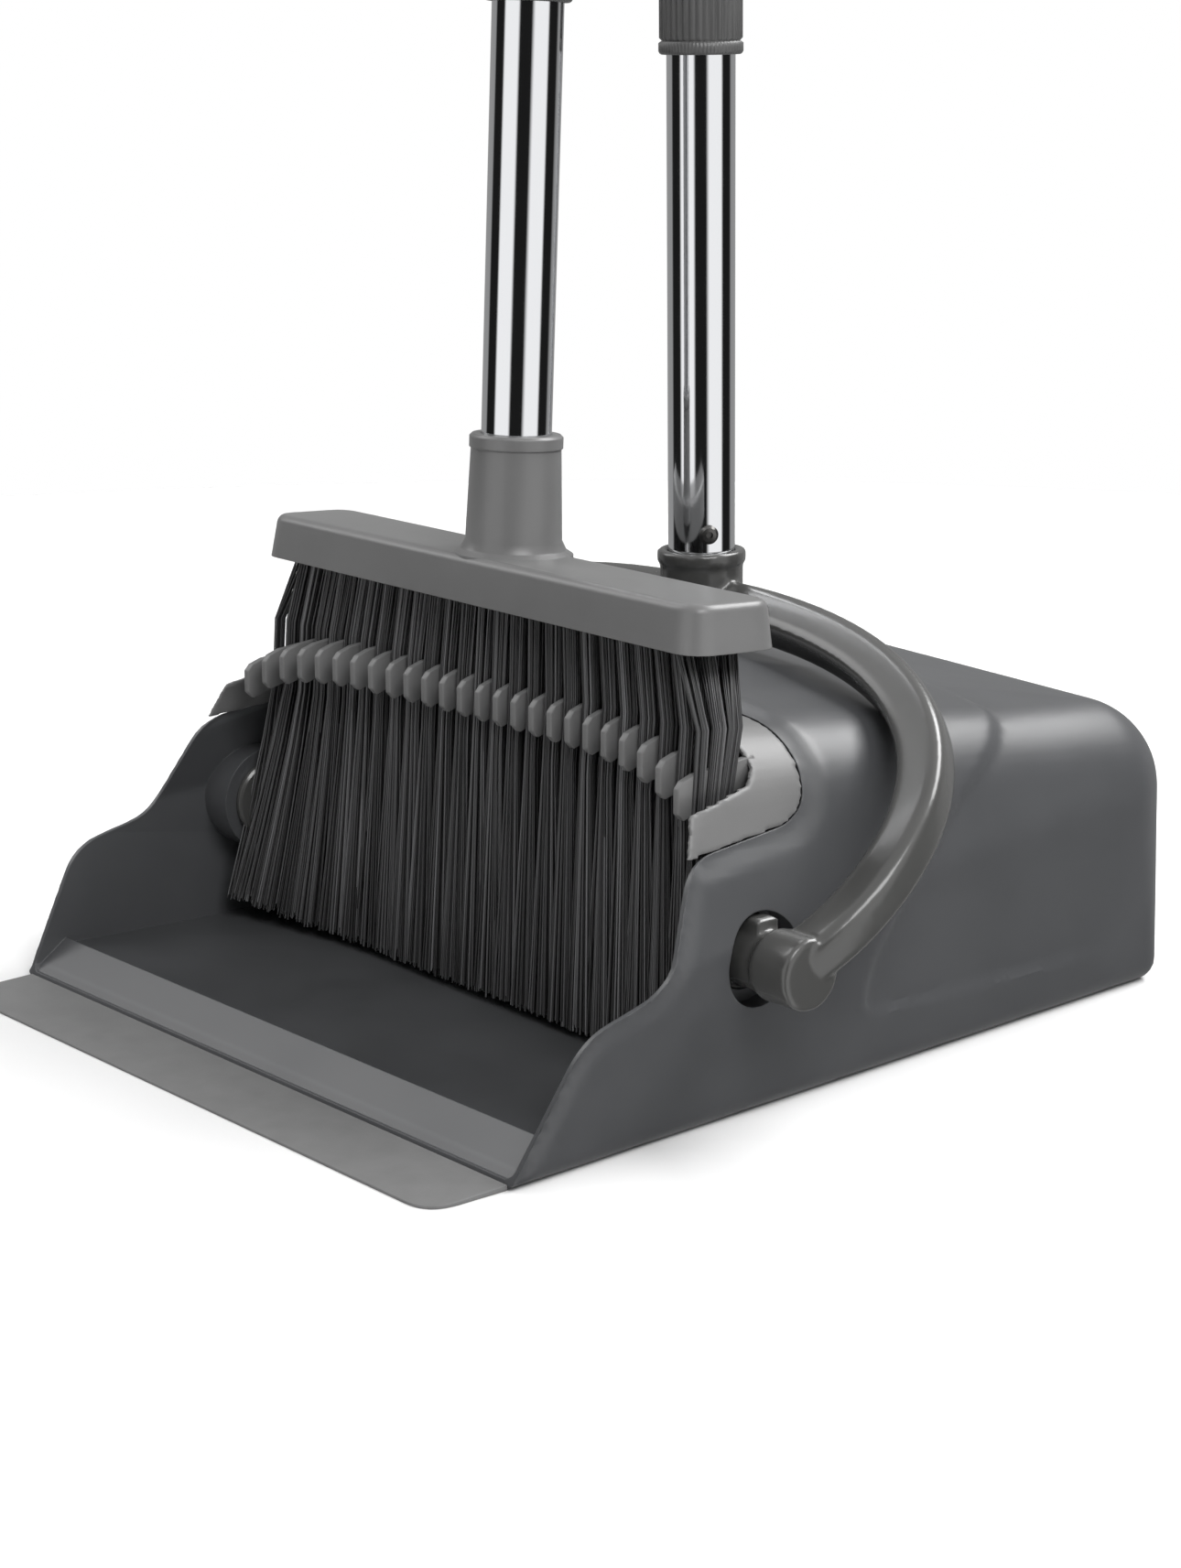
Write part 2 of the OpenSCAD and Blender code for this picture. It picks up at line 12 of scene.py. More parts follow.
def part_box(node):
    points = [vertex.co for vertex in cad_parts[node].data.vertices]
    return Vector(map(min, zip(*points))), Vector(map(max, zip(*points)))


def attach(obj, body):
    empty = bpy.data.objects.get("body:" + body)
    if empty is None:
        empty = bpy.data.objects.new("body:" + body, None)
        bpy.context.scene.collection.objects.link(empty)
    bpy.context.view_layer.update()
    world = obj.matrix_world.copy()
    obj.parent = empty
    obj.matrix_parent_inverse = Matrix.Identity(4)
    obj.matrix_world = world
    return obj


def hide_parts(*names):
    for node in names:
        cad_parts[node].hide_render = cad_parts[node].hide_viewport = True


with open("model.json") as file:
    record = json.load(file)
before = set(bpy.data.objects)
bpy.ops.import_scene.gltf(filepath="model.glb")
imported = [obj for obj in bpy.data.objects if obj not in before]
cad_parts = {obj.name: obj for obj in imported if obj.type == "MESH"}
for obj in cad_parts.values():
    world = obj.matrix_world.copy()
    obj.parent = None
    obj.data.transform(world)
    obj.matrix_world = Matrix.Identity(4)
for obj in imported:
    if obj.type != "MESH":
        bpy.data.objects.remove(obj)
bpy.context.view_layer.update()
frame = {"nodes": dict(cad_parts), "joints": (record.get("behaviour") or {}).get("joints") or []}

bl_info = {
    "name": "Upright dustpan and brush",
    "version": (1, 0, 0),
    "blender": (4, 5, 0),
    "location": "View3D > Sidebar > Dustpan",
    "description": "Builds a hooded dustpan, its bail handle and the broom that clips to it",
    "category": "Add Mesh",
}

MM = 0.001
FRONT_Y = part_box("lip_strip")[1].y
JOINTS = {joint["name"]: joint for joint in frame["joints"]}
HINGE = Vector(JOINTS["handle_fold"]["pos_m"])


def at(x, y, z):
    """A place in millimetres: across, behind the pan's front edge, and above the ground."""
    return Vector((x * MM, y * MM + FRONT_Y, z * MM))


def linear(code):
    """The linear colour of an sRGB hex value."""
    parts = [int(code[i:i + 2], 16) / 255 for i in (1, 3, 5)]
    return tuple(c / 12.92 if c <= 0.04045 else ((c + 0.055) / 1.055) ** 2.4 for c in parts)


def colour_prop(name, code):
    """A base colour that starts at an sRGB hex value."""
    return FloatVectorProperty(
        name=name, description=f"Base colour of the {name.lower()}", subtype="COLOR",
        size=3, min=0, max=1, default=linear(code))


def length_prop(name, description, millimetres):
    """A length that starts at a number of millimetres."""
    return FloatProperty(name=name, description=description, default=millimetres * MM,
                         min=0, unit="LENGTH")


# Sizes and colours

class PanSizes(bpy.types.PropertyGroup):
    mouth_width: length_prop("Mouth width", "Width of the pan at its front edge", 250)
    depth: length_prop("Depth", "Depth of the pan from front edge to back", 280)
    hood_height: length_prop("Hood height", "Height of the hood over the comb", 121)
    hood_fall: FloatProperty(name="Hood fall", description="Fall of the hood's top to the back",
                             default=math.radians(8.7), unit="ROTATION")
    wall: length_prop("Wall", "Thickness of the pan's wall", 2.6)
    floor_height: length_prop("Floor height", "Height of the floor above the ground", 9)
    ramp_depth: length_prop("Ramp depth", "Depth of the ramp behind the front edge", 13.5)
    panel_depth: length_prop("Panel depth", "Depth of the shallow panel in the hood's rear", 1.6)
    margin_width: length_prop("Margin width", "Width of the slope round the comb", 7)
    margin_depth: length_prop("Margin depth", "Depth of the slope at the comb", 2.2)
    lip_thickness: length_prop("Lip thickness", "Thickness of the soft lip at the pan", 1.7)
    lip_tip: length_prop("Lip tip", "Thickness of the soft lip at its front", 0.9)
    teeth: IntProperty(name="Teeth", description="Number of comb teeth", default=25, min=3)
    tooth_span: length_prop("Tooth span", "From the middle tooth to the outermost one", 104)
    tooth_thickness: length_prop("Tooth thickness", "Thickness of a comb tooth", 2.5)


class HandleSizes(bpy.types.PropertyGroup):
    bail_thickness: length_prop("Bail thickness", "Thickness of the bail in its plane", 15)
    bail_breadth: length_prop("Bail breadth", "Breadth of the bail across its plane", 13)
    knob_diameter: length_prop("Knob diameter", "Diameter of the bail's end knobs", 20.5)
    flutes: IntProperty(name="Flutes", description="Ribs round a collar", default=36, min=8)
    flute_depth: length_prop("Flute depth", "Depth of the flutes in a collar", 0.6)


class BroomSizes(bpy.types.PropertyGroup):
    tufts: IntProperty(name="Tufts", description="Tufts along each row", default=24, min=4)
    fibres: IntProperty(name="Fibres", description="Fibres in each tuft", default=86, min=4)
    fibre: length_prop("Fibre", "Thickness of a fibre", 0.56)
    tuft_radius: length_prop("Tuft radius", "Radius of a tuft where it leaves the head", 2.7)


class FinishColours(bpy.types.PropertyGroup):
    pan: colour_prop("Pan", "#48494b")
    comb: colour_prop("Comb", "#707070")
    lip: colour_prop("Lip", "#727272")
    bail: colour_prop("Bail", "#474746")
    head: colour_prop("Broom head", "#6c6c6c")
    clip: colour_prop("Clip", "#7f7f7f")
    collar: colour_prop("Collars", "#565656")
    grip: colour_prop("Grips", "#474747")
    joiner: colour_prop("Joiners", "#3a3a3a")
    bristle: colour_prop("Bristles", "#474748")
    steel: colour_prop("Tubes", "#dcdddf")


# Materials

def add(tree, kind, links=None, **settings):
    """Adds a node, sets its properties, and fills its sockets with values or other sockets."""
    node = tree.nodes.new(kind)
    for name, value in settings.items():
        setattr(node, name, value)
    for socket, value in (links or {}).items():
        if isinstance(value, bpy.types.NodeSocket):
            tree.links.new(value, node.inputs[socket])
        else:
            node.inputs[socket].default_value = value
    return node


def new_material(name):
    """An empty node material and its tree."""
    material = bpy.data.materials.new(name)
    material.use_nodes = True
    tree = material.node_tree
    tree.nodes.clear()
    return material, tree


def shades(tree, factor, stops):
    """A colour ramp over a factor; stops are (position, linear colour)."""
    ramp = add(tree, "ShaderNodeValToRGB", {"Fac": factor})
    elements = ramp.color_ramp.elements
    elements[0].position, elements[0].color = stops[0][0], (*stops[0][1], 1)
    elements[1].position, elements[1].color = stops[-1][0], (*stops[-1][1], 1)
    for position, colour in stops[1:-1]:
        elements.new(position).color = (*colour, 1)
    return ramp.outputs["Color"]


def tinted(colour, factor):
    """A colour made lighter or darker."""
    return tuple(min(1, channel * factor) for channel in colour)


def moulded(name, colour, roughness, grain=0.45, depth=0.03, edge=0.45, edge_highlight_gain=1.25, coat=0.0):
    """An injection-moulded plastic: even colour with slight flow clouds, a fine spark-eroded grain,
    softened arrises, and sharp edges made paler by a painted highlight. Lengths are in millimetres."""
    material, tree = new_material(name)
    place = add(tree, "ShaderNodeTexCoord").outputs["Object"]
    clouds = add(tree, "ShaderNodeTexNoise", {"Vector": place, "Scale": 1 / (35 * MM), "Detail": 3})
    fine = add(tree, "ShaderNodeTexNoise",
               {"Vector": place, "Scale": 1 / (grain * MM), "Detail": 2})
    body = shades(tree, clouds.outputs["Fac"],
                  [(0.3, tinted(colour, 0.94)), (0.7, tinted(colour, 1.06))])
    # Painted highlight: sharp convex edges, where pointiness is high, are mixed towards a paler
    # colour
    edge_highlight_mask = add(tree, "ShaderNodeMapRange",
               {"Value": add(tree, "ShaderNodeNewGeometry").outputs["Pointiness"],
                "From Min": 0.56, "From Max": 0.7})
    paint = add(tree, "ShaderNodeMix", {"Factor": edge_highlight_mask.outputs["Result"], "A": body,
                                        "B": (*tinted(colour, edge_highlight_gain), 1)}, data_type="RGBA")
    gloss = add(tree, "ShaderNodeMapRange", {"Value": clouds.outputs["Fac"], "From Min": 0.3,
                                             "From Max": 0.7, "To Min": roughness - 0.03,
                                             "To Max": roughness + 0.04})
    soft = add(tree, "ShaderNodeBevel", {"Radius": edge * MM}, samples=4)
    bump = add(tree, "ShaderNodeBump", {"Height": fine.outputs["Fac"], "Distance": depth * MM,
                                        "Strength": 0.6, "Normal": soft.outputs["Normal"]})
    shader = add(tree, "ShaderNodeBsdfPrincipled", {
        "Base Color": paint.outputs["Result"], "Roughness": gloss.outputs["Result"], "IOR": 1.49,
        "Normal": bump.outputs["Normal"], "Coat Weight": coat, "Coat Roughness": 0.12})
    add(tree, "ShaderNodeOutputMaterial", {"Surface": shader.outputs["BSDF"]})
    return material


def soft_rubber(name, colour):
    """A thermoplastic elastomer strip: matt, slightly mottled, with a sheen at grazing angles."""
    material, tree = new_material(name)
    place = add(tree, "ShaderNodeTexCoord").outputs["Object"]
    mottle = add(tree, "ShaderNodeTexNoise", {"Vector": place, "Scale": 1 / (9 * MM), "Detail": 5})
    grain = add(tree, "ShaderNodeTexNoise", {"Vector": place, "Scale": 1 / (0.5 * MM), "Detail": 2})
    body = shades(tree, mottle.outputs["Fac"],
                  [(0.3, tinted(colour, 0.93)), (0.7, tinted(colour, 1.05))])
    bump = add(tree, "ShaderNodeBump", {"Height": grain.outputs["Fac"], "Distance": 0.04 * MM})
    shader = add(tree, "ShaderNodeBsdfPrincipled", {
        "Base Color": body, "Roughness": 0.58, "IOR": 1.5, "Normal": bump.outputs["Normal"],
        "Sheen Weight": 0.15, "Sheen Roughness": 0.4})
    add(tree, "ShaderNodeOutputMaterial", {"Surface": shader.outputs["BSDF"]})
    return material


def polished_steel(name, colour):
    """Welded stainless tube, drawn and buffed: a near mirror with faint lines along its length."""
    material, tree = new_material(name)
    place = add(tree, "ShaderNodeTexCoord").outputs["Object"]
    drawn = add(tree, "ShaderNodeMapping",
                {"Vector": place, "Scale": (1 / (0.25 * MM), 1 / (0.25 * MM), 1 / (60 * MM))})
    lines = add(tree, "ShaderNodeTexNoise", {"Vector": drawn.outputs["Vector"], "Scale": 1.0,
                                             "Detail": 2})
    smears = add(tree, "ShaderNodeTexNoise", {"Vector": place, "Scale": 1 / (22 * MM), "Detail": 4})
    gloss = add(tree, "ShaderNodeMapRange", {"Value": smears.outputs["Fac"], "From Min": 0.35,
                                             "From Max": 0.7, "To Min": 0.05, "To Max": 0.1})
    bump = add(tree, "ShaderNodeBump", {"Height": lines.outputs["Fac"], "Distance": 0.002 * MM,
                                        "Strength": 0.4})
    shader = add(tree, "ShaderNodeBsdfPrincipled", {
        "Base Color": (*colour, 1), "Metallic": 1.0, "Roughness": gloss.outputs["Result"],
        "Normal": bump.outputs["Normal"]})
    add(tree, "ShaderNodeOutputMaterial", {"Surface": shader.outputs["BSDF"]})
    return material


def blackened_steel(name):
    """A small machine screw in black zinc: dark metal, dull from the plating bath."""
    material, tree = new_material(name)
    place = add(tree, "ShaderNodeTexCoord").outputs["Object"]
    pits = add(tree, "ShaderNodeTexNoise", {"Vector": place, "Scale": 1 / (0.6 * MM), "Detail": 3})
    gloss = add(tree, "ShaderNodeMapRange", {"Value": pits.outputs["Fac"], "To Min": 0.25,
                                             "To Max": 0.45})
    shader = add(tree, "ShaderNodeBsdfPrincipled", {
        "Base Color": (*linear("#5c5b5a"), 1), "Metallic": 1.0,
        "Roughness": gloss.outputs["Result"]})
    add(tree, "ShaderNodeOutputMaterial", {"Surface": shader.outputs["BSDF"]})
    return material


def nylon_fibre(name, colour):
    """Extruded nylon fibres: dark and glossy, each fibre a random shade of its own, the palest
    of them painted highlights, with a slow change of shade over 60 mm of its length."""
    material, tree = new_material(name)
    own = add(tree, "ShaderNodeNewGeometry").outputs["Random Per Island"]
    place = add(tree, "ShaderNodeTexCoord").outputs["Object"]
    slow = add(tree, "ShaderNodeTexNoise", {"Vector": place, "Scale": 1 / (60 * MM), "Detail": 1})
    share = add(tree, "ShaderNodeMix", {"Factor": 0.15, 2: own, 3: slow.outputs["Fac"]})
    # Random shade per fibre; the two top stops, up to 2.8 times the colour, are painted highlights
    # on the palest fibres
    body = shades(tree, share.outputs["Result"],
                  [(0.1, tinted(colour, 0.25)), (0.5, tinted(colour, 0.9)),
                   (0.8, tinted(colour, 1.8)), (0.92, tinted(colour, 2.8))])
    shader = add(tree, "ShaderNodeBsdfPrincipled", {
        "Base Color": body, "Roughness": 0.36, "IOR": 1.53})
    add(tree, "ShaderNodeOutputMaterial", {"Surface": shader.outputs["BSDF"]})
    return material


FINISHES = {}


def finishes():
    """Every finish of the set, by the record's slot name; made once."""
    if "pan_plastic" in FINISHES:
        return FINISHES
    c = bpy.context.scene.dustpan_colours
    FINISHES.update({
        # The pale sharp edges of the moulded plastics are a painted highlight, strongest on the pan
        "pan_plastic": moulded("Satin polypropylene, charcoal", c.pan, 0.36, 0.5, 0.02,
                               edge=0.5, edge_highlight_gain=1.5),
        "comb_plastic": moulded("Satin polypropylene, mid grey", c.comb, 0.42, edge=0.4),
        "lip_rubber": soft_rubber("Matt elastomer, grey", c.lip),
        "bail_plastic": moulded("Polished ABS, warm grey", c.bail, 0.24, 0.7, 0.01, edge_highlight_gain=1.15,
                                edge=0.5, coat=0.25),
        "screw_steel": blackened_steel("Black zinc steel"),
        "tube_steel": polished_steel("Buffed stainless tube", c.steel),
        "joiner_plastic": moulded("Plain polypropylene, black grey", c.joiner, 0.45),
        "collar_plastic": moulded("Fluted polypropylene, dark grey", c.collar, 0.36, edge=0.2),
        "clip_plastic": moulded("Satin acetal, light grey", c.clip, 0.34),
        "head_plastic": moulded("Polished polypropylene, grey", c.head, 0.33, depth=0.006,
                                edge=0.5, edge_highlight_gain=1.2),
        "bristle_fibre": nylon_fibre("Nylon fibre, charcoal", c.bristle),
        "grip_plastic": moulded("Soft-touch elastomer, dark grey", c.grip, 0.5, 0.6, 0.05),
    })
    return FINISHES


# Mesh tools

def new_object(name, data):
    """A new object at the scene's origin."""
    obj = bpy.data.objects.new(name, data)
    bpy.context.scene.collection.objects.link(obj)
    return obj


def to_object(name, bm):
    """An object from a bmesh, which is used up."""
    mesh = bpy.data.meshes.new(name)
    bm.to_mesh(mesh)
    bm.free()
    return new_object(name, mesh)


def final_mesh(obj):
    """An object's mesh as its modifiers or its bevel leave it."""
    graph = bpy.context.evaluated_depsgraph_get()
    return bpy.data.meshes.new_from_object(obj.evaluated_get(graph))


def apply_modifiers(obj):
    """Makes an object's modifiers part of its mesh."""
    mesh = final_mesh(obj)
    obj.modifiers.clear()
    obj.data = mesh
    return obj


def combine(obj, other, operation):
    """Joins, cuts or intersects two closed solids; the second one is used up."""
    modifier = obj.modifiers.new("combine", "BOOLEAN")
    modifier.object = other
    modifier.operation = operation
    modifier.solver = "EXACT"
    apply_modifiers(obj)
    bpy.data.objects.remove(other)
    return obj


def fuse(obj, voxel, rounds):
    """Melts overlapping solids into one skin of small squares and softens its edges."""
    modifier = obj.modifiers.new("fuse", "REMESH")
    modifier.mode = "VOXEL"
    modifier.voxel_size = voxel * MM
    smooth = obj.modifiers.new("soften", "SMOOTH")
    smooth.factor = 0.5
    smooth.iterations = rounds
    return apply_modifiers(obj)


def finish_piece(obj, body, slot, *nodes, sharp=40):
    """Shades a piece, gives it its finish, ties it to its body, and hides the nodes it stands for.
    """
    obj.data.shade_smooth()
    if sharp:
        obj.data.set_sharp_from_angle(angle=math.radians(sharp))
    obj.data.materials.clear()
    obj.data.materials.append(finishes()[slot])
    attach(obj, body)
    if nodes:
        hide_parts(*nodes)
    return obj


def cad_copy(name, node):
    """A copy of a CAD node with its loose triangles welded."""
    bm = bmesh.new()
    bm.from_mesh(frame["nodes"][node].data)
    bmesh.ops.remove_doubles(bm, verts=bm.verts, dist=0.002 * MM)
    return to_object(name, bm)


def rounded(outline, radius, steps=6):
    """An open outline with each inner corner turned into a smooth bend."""
    points = [Vector(p) for p in outline]
    made = [points[0]]
    for before, corner, after in zip(points, points[1:], points[2:]):
        reach = min(radius, (before - corner).length * 0.48, (after - corner).length * 0.48)
        start = corner + (before - corner).normalized() * reach
        end = corner + (after - corner).normalized() * reach
        for i in range(steps + 1):
            t = i / steps
            made.append(start * (1 - t) ** 2 + corner * 2 * t * (1 - t) + end * t ** 2)
    return made + [points[-1]]


def extruded(bm, places):
    """A face over a list of places, extruded; gives the new corners, which still have to move."""
    face = bm.faces.new([bm.verts.new(place) for place in places])
    grown = bmesh.ops.extrude_face_region(bm, geom=[face])["geom"]
    return [v for v in grown if isinstance(v, bmesh.types.BMVert)]


def soften(bm, edges, offset, segments):
    """Rounds edges off by an offset in millimetres."""
    bmesh.ops.bevel(bm, geom=edges, offset=offset * MM, offset_type="OFFSET", segments=segments,
                    profile=0.5, affect="EDGES", material=-1)


def slab(outline, low_x, width):
    """A mesh with a side-view outline of (y, z) points in millimetres, from low_x to the right."""
    bm = bmesh.new()
    tops = extruded(bm, [at(low_x, y, z) for y, z in outline])
    bmesh.ops.translate(bm, verts=tops, vec=(width * MM, 0, 0))
    bmesh.ops.recalc_face_normals(bm, faces=bm.faces)
    return bm


def prism(name, outline, low_x, high_x):
    """A solid with a side-view outline, from low_x to high_x."""
    return to_object(name, slab(outline, low_x, high_x - low_x))


def brick(bm, middle, *size):
    """Adds a block round a place; its sizes are in millimetres."""
    scale = Matrix.Diagonal((*(side * MM for side in size), 1))
    return bmesh.ops.create_cube(bm, size=1, matrix=Matrix.Translation(middle) @ scale)["verts"]


def lathe(profile, steps=64, closed=True):
    """An outline of (radius, height) points in metres, turned round Z."""
    bm = bmesh.new()
    ring = [bm.verts.new((r, 0, z)) for r, z in profile]
    pairs = list(zip(ring, ring[1:])) + ([(ring[-1], ring[0])] if closed else [])
    edges = [bm.edges.new(pair) for pair in pairs]
    bmesh.ops.spin(bm, geom=ring + edges, cent=(0, 0, 0), axis=(0, 0, 1), dvec=(0, 0, 0),
                   angle=math.tau, steps=steps, use_merge=True)
    bmesh.ops.remove_doubles(bm, verts=bm.verts, dist=0.001 * MM)
    bmesh.ops.recalc_face_normals(bm, faces=bm.faces)
    return bm


def put(bm, part, place):
    """Moves a part to its place and adds it to another mesh; the part is used up."""
    bmesh.ops.transform(part, matrix=place, verts=part.verts)
    mesh = bpy.data.meshes.new("part")
    part.to_mesh(mesh)
    part.free()
    bm.from_mesh(mesh)
    bpy.data.meshes.remove(mesh)


def line_frame(joint):
    """The frame of a turning collar's axis: +Z along its tube, +X across."""
    z = Vector(JOINTS[joint]["axis"]).normalized()
    x = Vector((1, 0, 0))
    turn = Matrix((x, z.cross(x), z)).transposed().to_4x4()
    return Matrix.Translation(JOINTS[joint]["pos_m"]) @ turn


PAN_LINE = line_frame("pan_collar_low_turn")
BROOM_LINE = line_frame("broom_collar_low_turn")
BROOM_YAW = math.radians(-2)
X_AXIS = Matrix.Rotation(math.pi / 2, 4, "Y")


def hinge_frame(way):
    """The hinge's frame with +Z outwards through the right (1) or the left (-1) wall."""
    return Matrix.Translation(HINGE) @ Matrix.Rotation(way * math.pi / 2, 4, "Y")


def span(node, line):
    """The lowest and highest place of a CAD node along a line, and its widest radius."""
    back = line.inverted()
    places = [back @ v.co for v in frame["nodes"][node].data.vertices]
    heights = [p.z for p in places]
    return min(heights), max(heights), max(math.hypot(p.x, p.y) for p in places)


# The pan

# Outlines in the side view, as (distance behind the front edge, height) in millimetres
FRONT_WALL = [(0, 1.7), (21, 38.6), (50, 45.7), (66, 76.4)]
SEAM_BACK = 115.5
COMB_SEAM = [(105, 80), (112, 84), (SEAM_BACK, 93), (SEAM_BACK, 125)]
SEAM_BEND, PANEL_BEND = 9, 16
PANEL = [(214, 140), (211, 99), (193, 88), (167, 74), (143, 52), (131, 34), (130, 20), (150, 18),
         (300, 14)]
# Where the rear panel starts to fade into the hood, and where it is gone
PANEL_FADE, PANEL_GONE = 200, 262
HINGE_Y, HINGE_Z = 86, 47
# Floor of the round recess in each side wall, and the inner end of the boss behind it
RECESS_X, RECESS_R, PIN_R = 118, 13.5, 10
BOSS_X, BOSS_R = 112, 17
# The comb's upper front and back edges, its thickness, and where its ears start
VISOR_FRONT, VISOR_BACK = (79, 105.5), (104.5, 125)
BAND = 3
EAR_X = 107
# Ends of the cutting shapes, all well outside the pan
AHEAD, BEHIND, FAR = -60, 300, 200


def side_path():
    """The line in the side view where the pan ends: up the front wall, then along the comb."""
    return rounded(FRONT_WALL + COMB_SEAM, SEAM_BEND)


def distance_to(path, point):
    """The distance of a side-view point from a path of points."""
    best = 1e9
    for a, b in zip(path, path[1:]):
        run = b - a
        share = max(0, min(1, (point - a).dot(run) / max(run.length_squared, 1e-12)))
        best = min(best, (point - a - run * share).length)
    return best


def inside(outline, point):
    """Whether a side-view point lies in a closed outline."""
    odd = False
    for a, b in zip(outline, outline[1:] + outline[:1]):
        if (a.y > point.y) != (b.y > point.y):
            if point.x < (b.x - a.x) * (point.y - a.y) / (b.y - a.y) + a.x:
                odd = not odd
    return odd


def eased(t):
    """A smooth step from 0 to 1."""
    t = max(0, min(1, t))
    return t * t * (3 - 2 * t)


def pan_form(name, inset, segments):
    """The pan's closed outer form: balls at its corners under one tight skin. A positive inset
    in millimetres gives the form a wall further in."""
    s = bpy.context.scene.dustpan_pan
    half = s.mouth_width / MM / 2
    depth, top = s.depth / MM, s.hood_height / MM
    fall = s.hood_fall
    # Radii of the balls: along the hood's crown, at its sides, at the rear foot, at the mouth
    crown, crown_back, side, side_back, foot, mouth = 40, 30, 32, 28, 7, 6
    # How much narrower than the mouth the form is at the hood's front, its back and its foot
    slim_front, slim_back, slim_foot = 8, 9, 14
    crown_y, crown_z, mouth_z = 80, top - crown, 46
    back_y = depth - crown_back
    back_z = crown_z + (crown - crown_back - (back_y - crown_y) * math.sin(fall)) / math.cos(fall)
    rear_z = back_z + crown_back - 4 - side_back
    balls = [(half - mouth, -mouth, mouth, mouth), (half, mouth, mouth_z, mouth),
             (half - slim_front - side, crown_y, top - 11 - side, side),
             (half - slim_back - side_back, depth - side_back, rear_z, side_back),
             (half - slim_foot - foot, depth - 5 - foot, foot, foot),
             (0, crown_y, crown_z, crown), (0, back_y, back_z, crown_back)]
    bm = bmesh.new()
    for x, y, z, r in balls:
        for way in (-1, 1) if x else (1,):
            bmesh.ops.create_uvsphere(bm, u_segments=segments, v_segments=segments // 2,
                                      radius=(r - inset) * MM,
                                      matrix=Matrix.Translation(at(way * x, y, z)))
    bmesh.ops.delete(bm, geom=bm.faces[:] + bm.edges[:], context="EDGES_FACES")
    bmesh.ops.convex_hull(bm, input=bm.verts[:])
    bmesh.ops.delete(bm, geom=[v for v in bm.verts if not v.link_faces], context="VERTS")
    bmesh.ops.recalc_face_normals(bm, faces=bm.faces)
    return to_object(name, bm)


def dense_form(name):
    """The outer form in small squares, with its sloped margins and its sunk rear panel."""
    s = bpy.context.scene.dustpan_pan
    # Millimetres: size of a square, slope behind the front wall's edge, width of the panel's
    # step, and the height under which the form stays as it is
    square, front_depth, front_width, panel_step, foot_z = 2.2, 1.3, 5, 2.6, 3
    form = pan_form("form", 0, 64)
    skin = pan_form(name, 0, 64)
    remesh = skin.modifiers.new("squares", "REMESH")
    remesh.mode = "VOXEL"
    remesh.voxel_size = square * MM
    wrap = skin.modifiers.new("wrap", "SHRINKWRAP")
    wrap.target = form
    wrap.wrap_method = "NEAREST_SURFACEPOINT"
    apply_modifiers(skin)
    bpy.data.objects.remove(form)
    seam = rounded([FRONT_WALL[-1]] + COMB_SEAM, SEAM_BEND)
    band = seam + [Vector((SEAM_BACK, FAR)), Vector((50, FAR))]
    front = rounded(FRONT_WALL, SEAM_BEND)
    panel = rounded(PANEL, PANEL_BEND)
    panel_outline = panel + [Vector((320, 14)), Vector((320, 140))]
    bm = bmesh.new()
    bm.from_mesh(skin.data)
    bm.normal_update()
    moves = []
    for v in bm.verts:
        p = Vector(((v.co.y - FRONT_Y) / MM, v.co.z / MM))
        sunk = 0
        if p.y > foot_z:
            near_seam = distance_to(seam, p)
            slope = 1 if inside(band, p) else max(0, 1 - near_seam * MM / s.margin_width)
            edge = max(0, 1 - distance_to(front, p) / front_width)
            sunk = max(s.margin_depth * slope, front_depth * MM * edge)
            if inside(panel_outline, p):
                fade = eased((PANEL_GONE - p.x) / (PANEL_GONE - PANEL_FADE))
                step = eased(distance_to(panel, p) / panel_step)
                sunk = max(sunk, s.panel_depth * step * fade)
        moves.append((v, v.normal * sunk))
    for v, move in moves:
        v.co -= move
    bm.to_mesh(skin.data)
    bm.free()
    return skin


def hinge_cylinder(name, radius, low_x, high_x):
    """A cylinder on the hinge's axis, with its sizes in millimetres."""
    bm = bmesh.new()
    place = Matrix.Translation(at((low_x + high_x) / 2, HINGE_Y, HINGE_Z)) @ X_AXIS
    bmesh.ops.create_cone(bm, cap_ends=True, segments=72, radius1=radius * MM,
                          radius2=radius * MM, depth=abs(high_x - low_x) * MM, matrix=place)
    return to_object(name, bm)


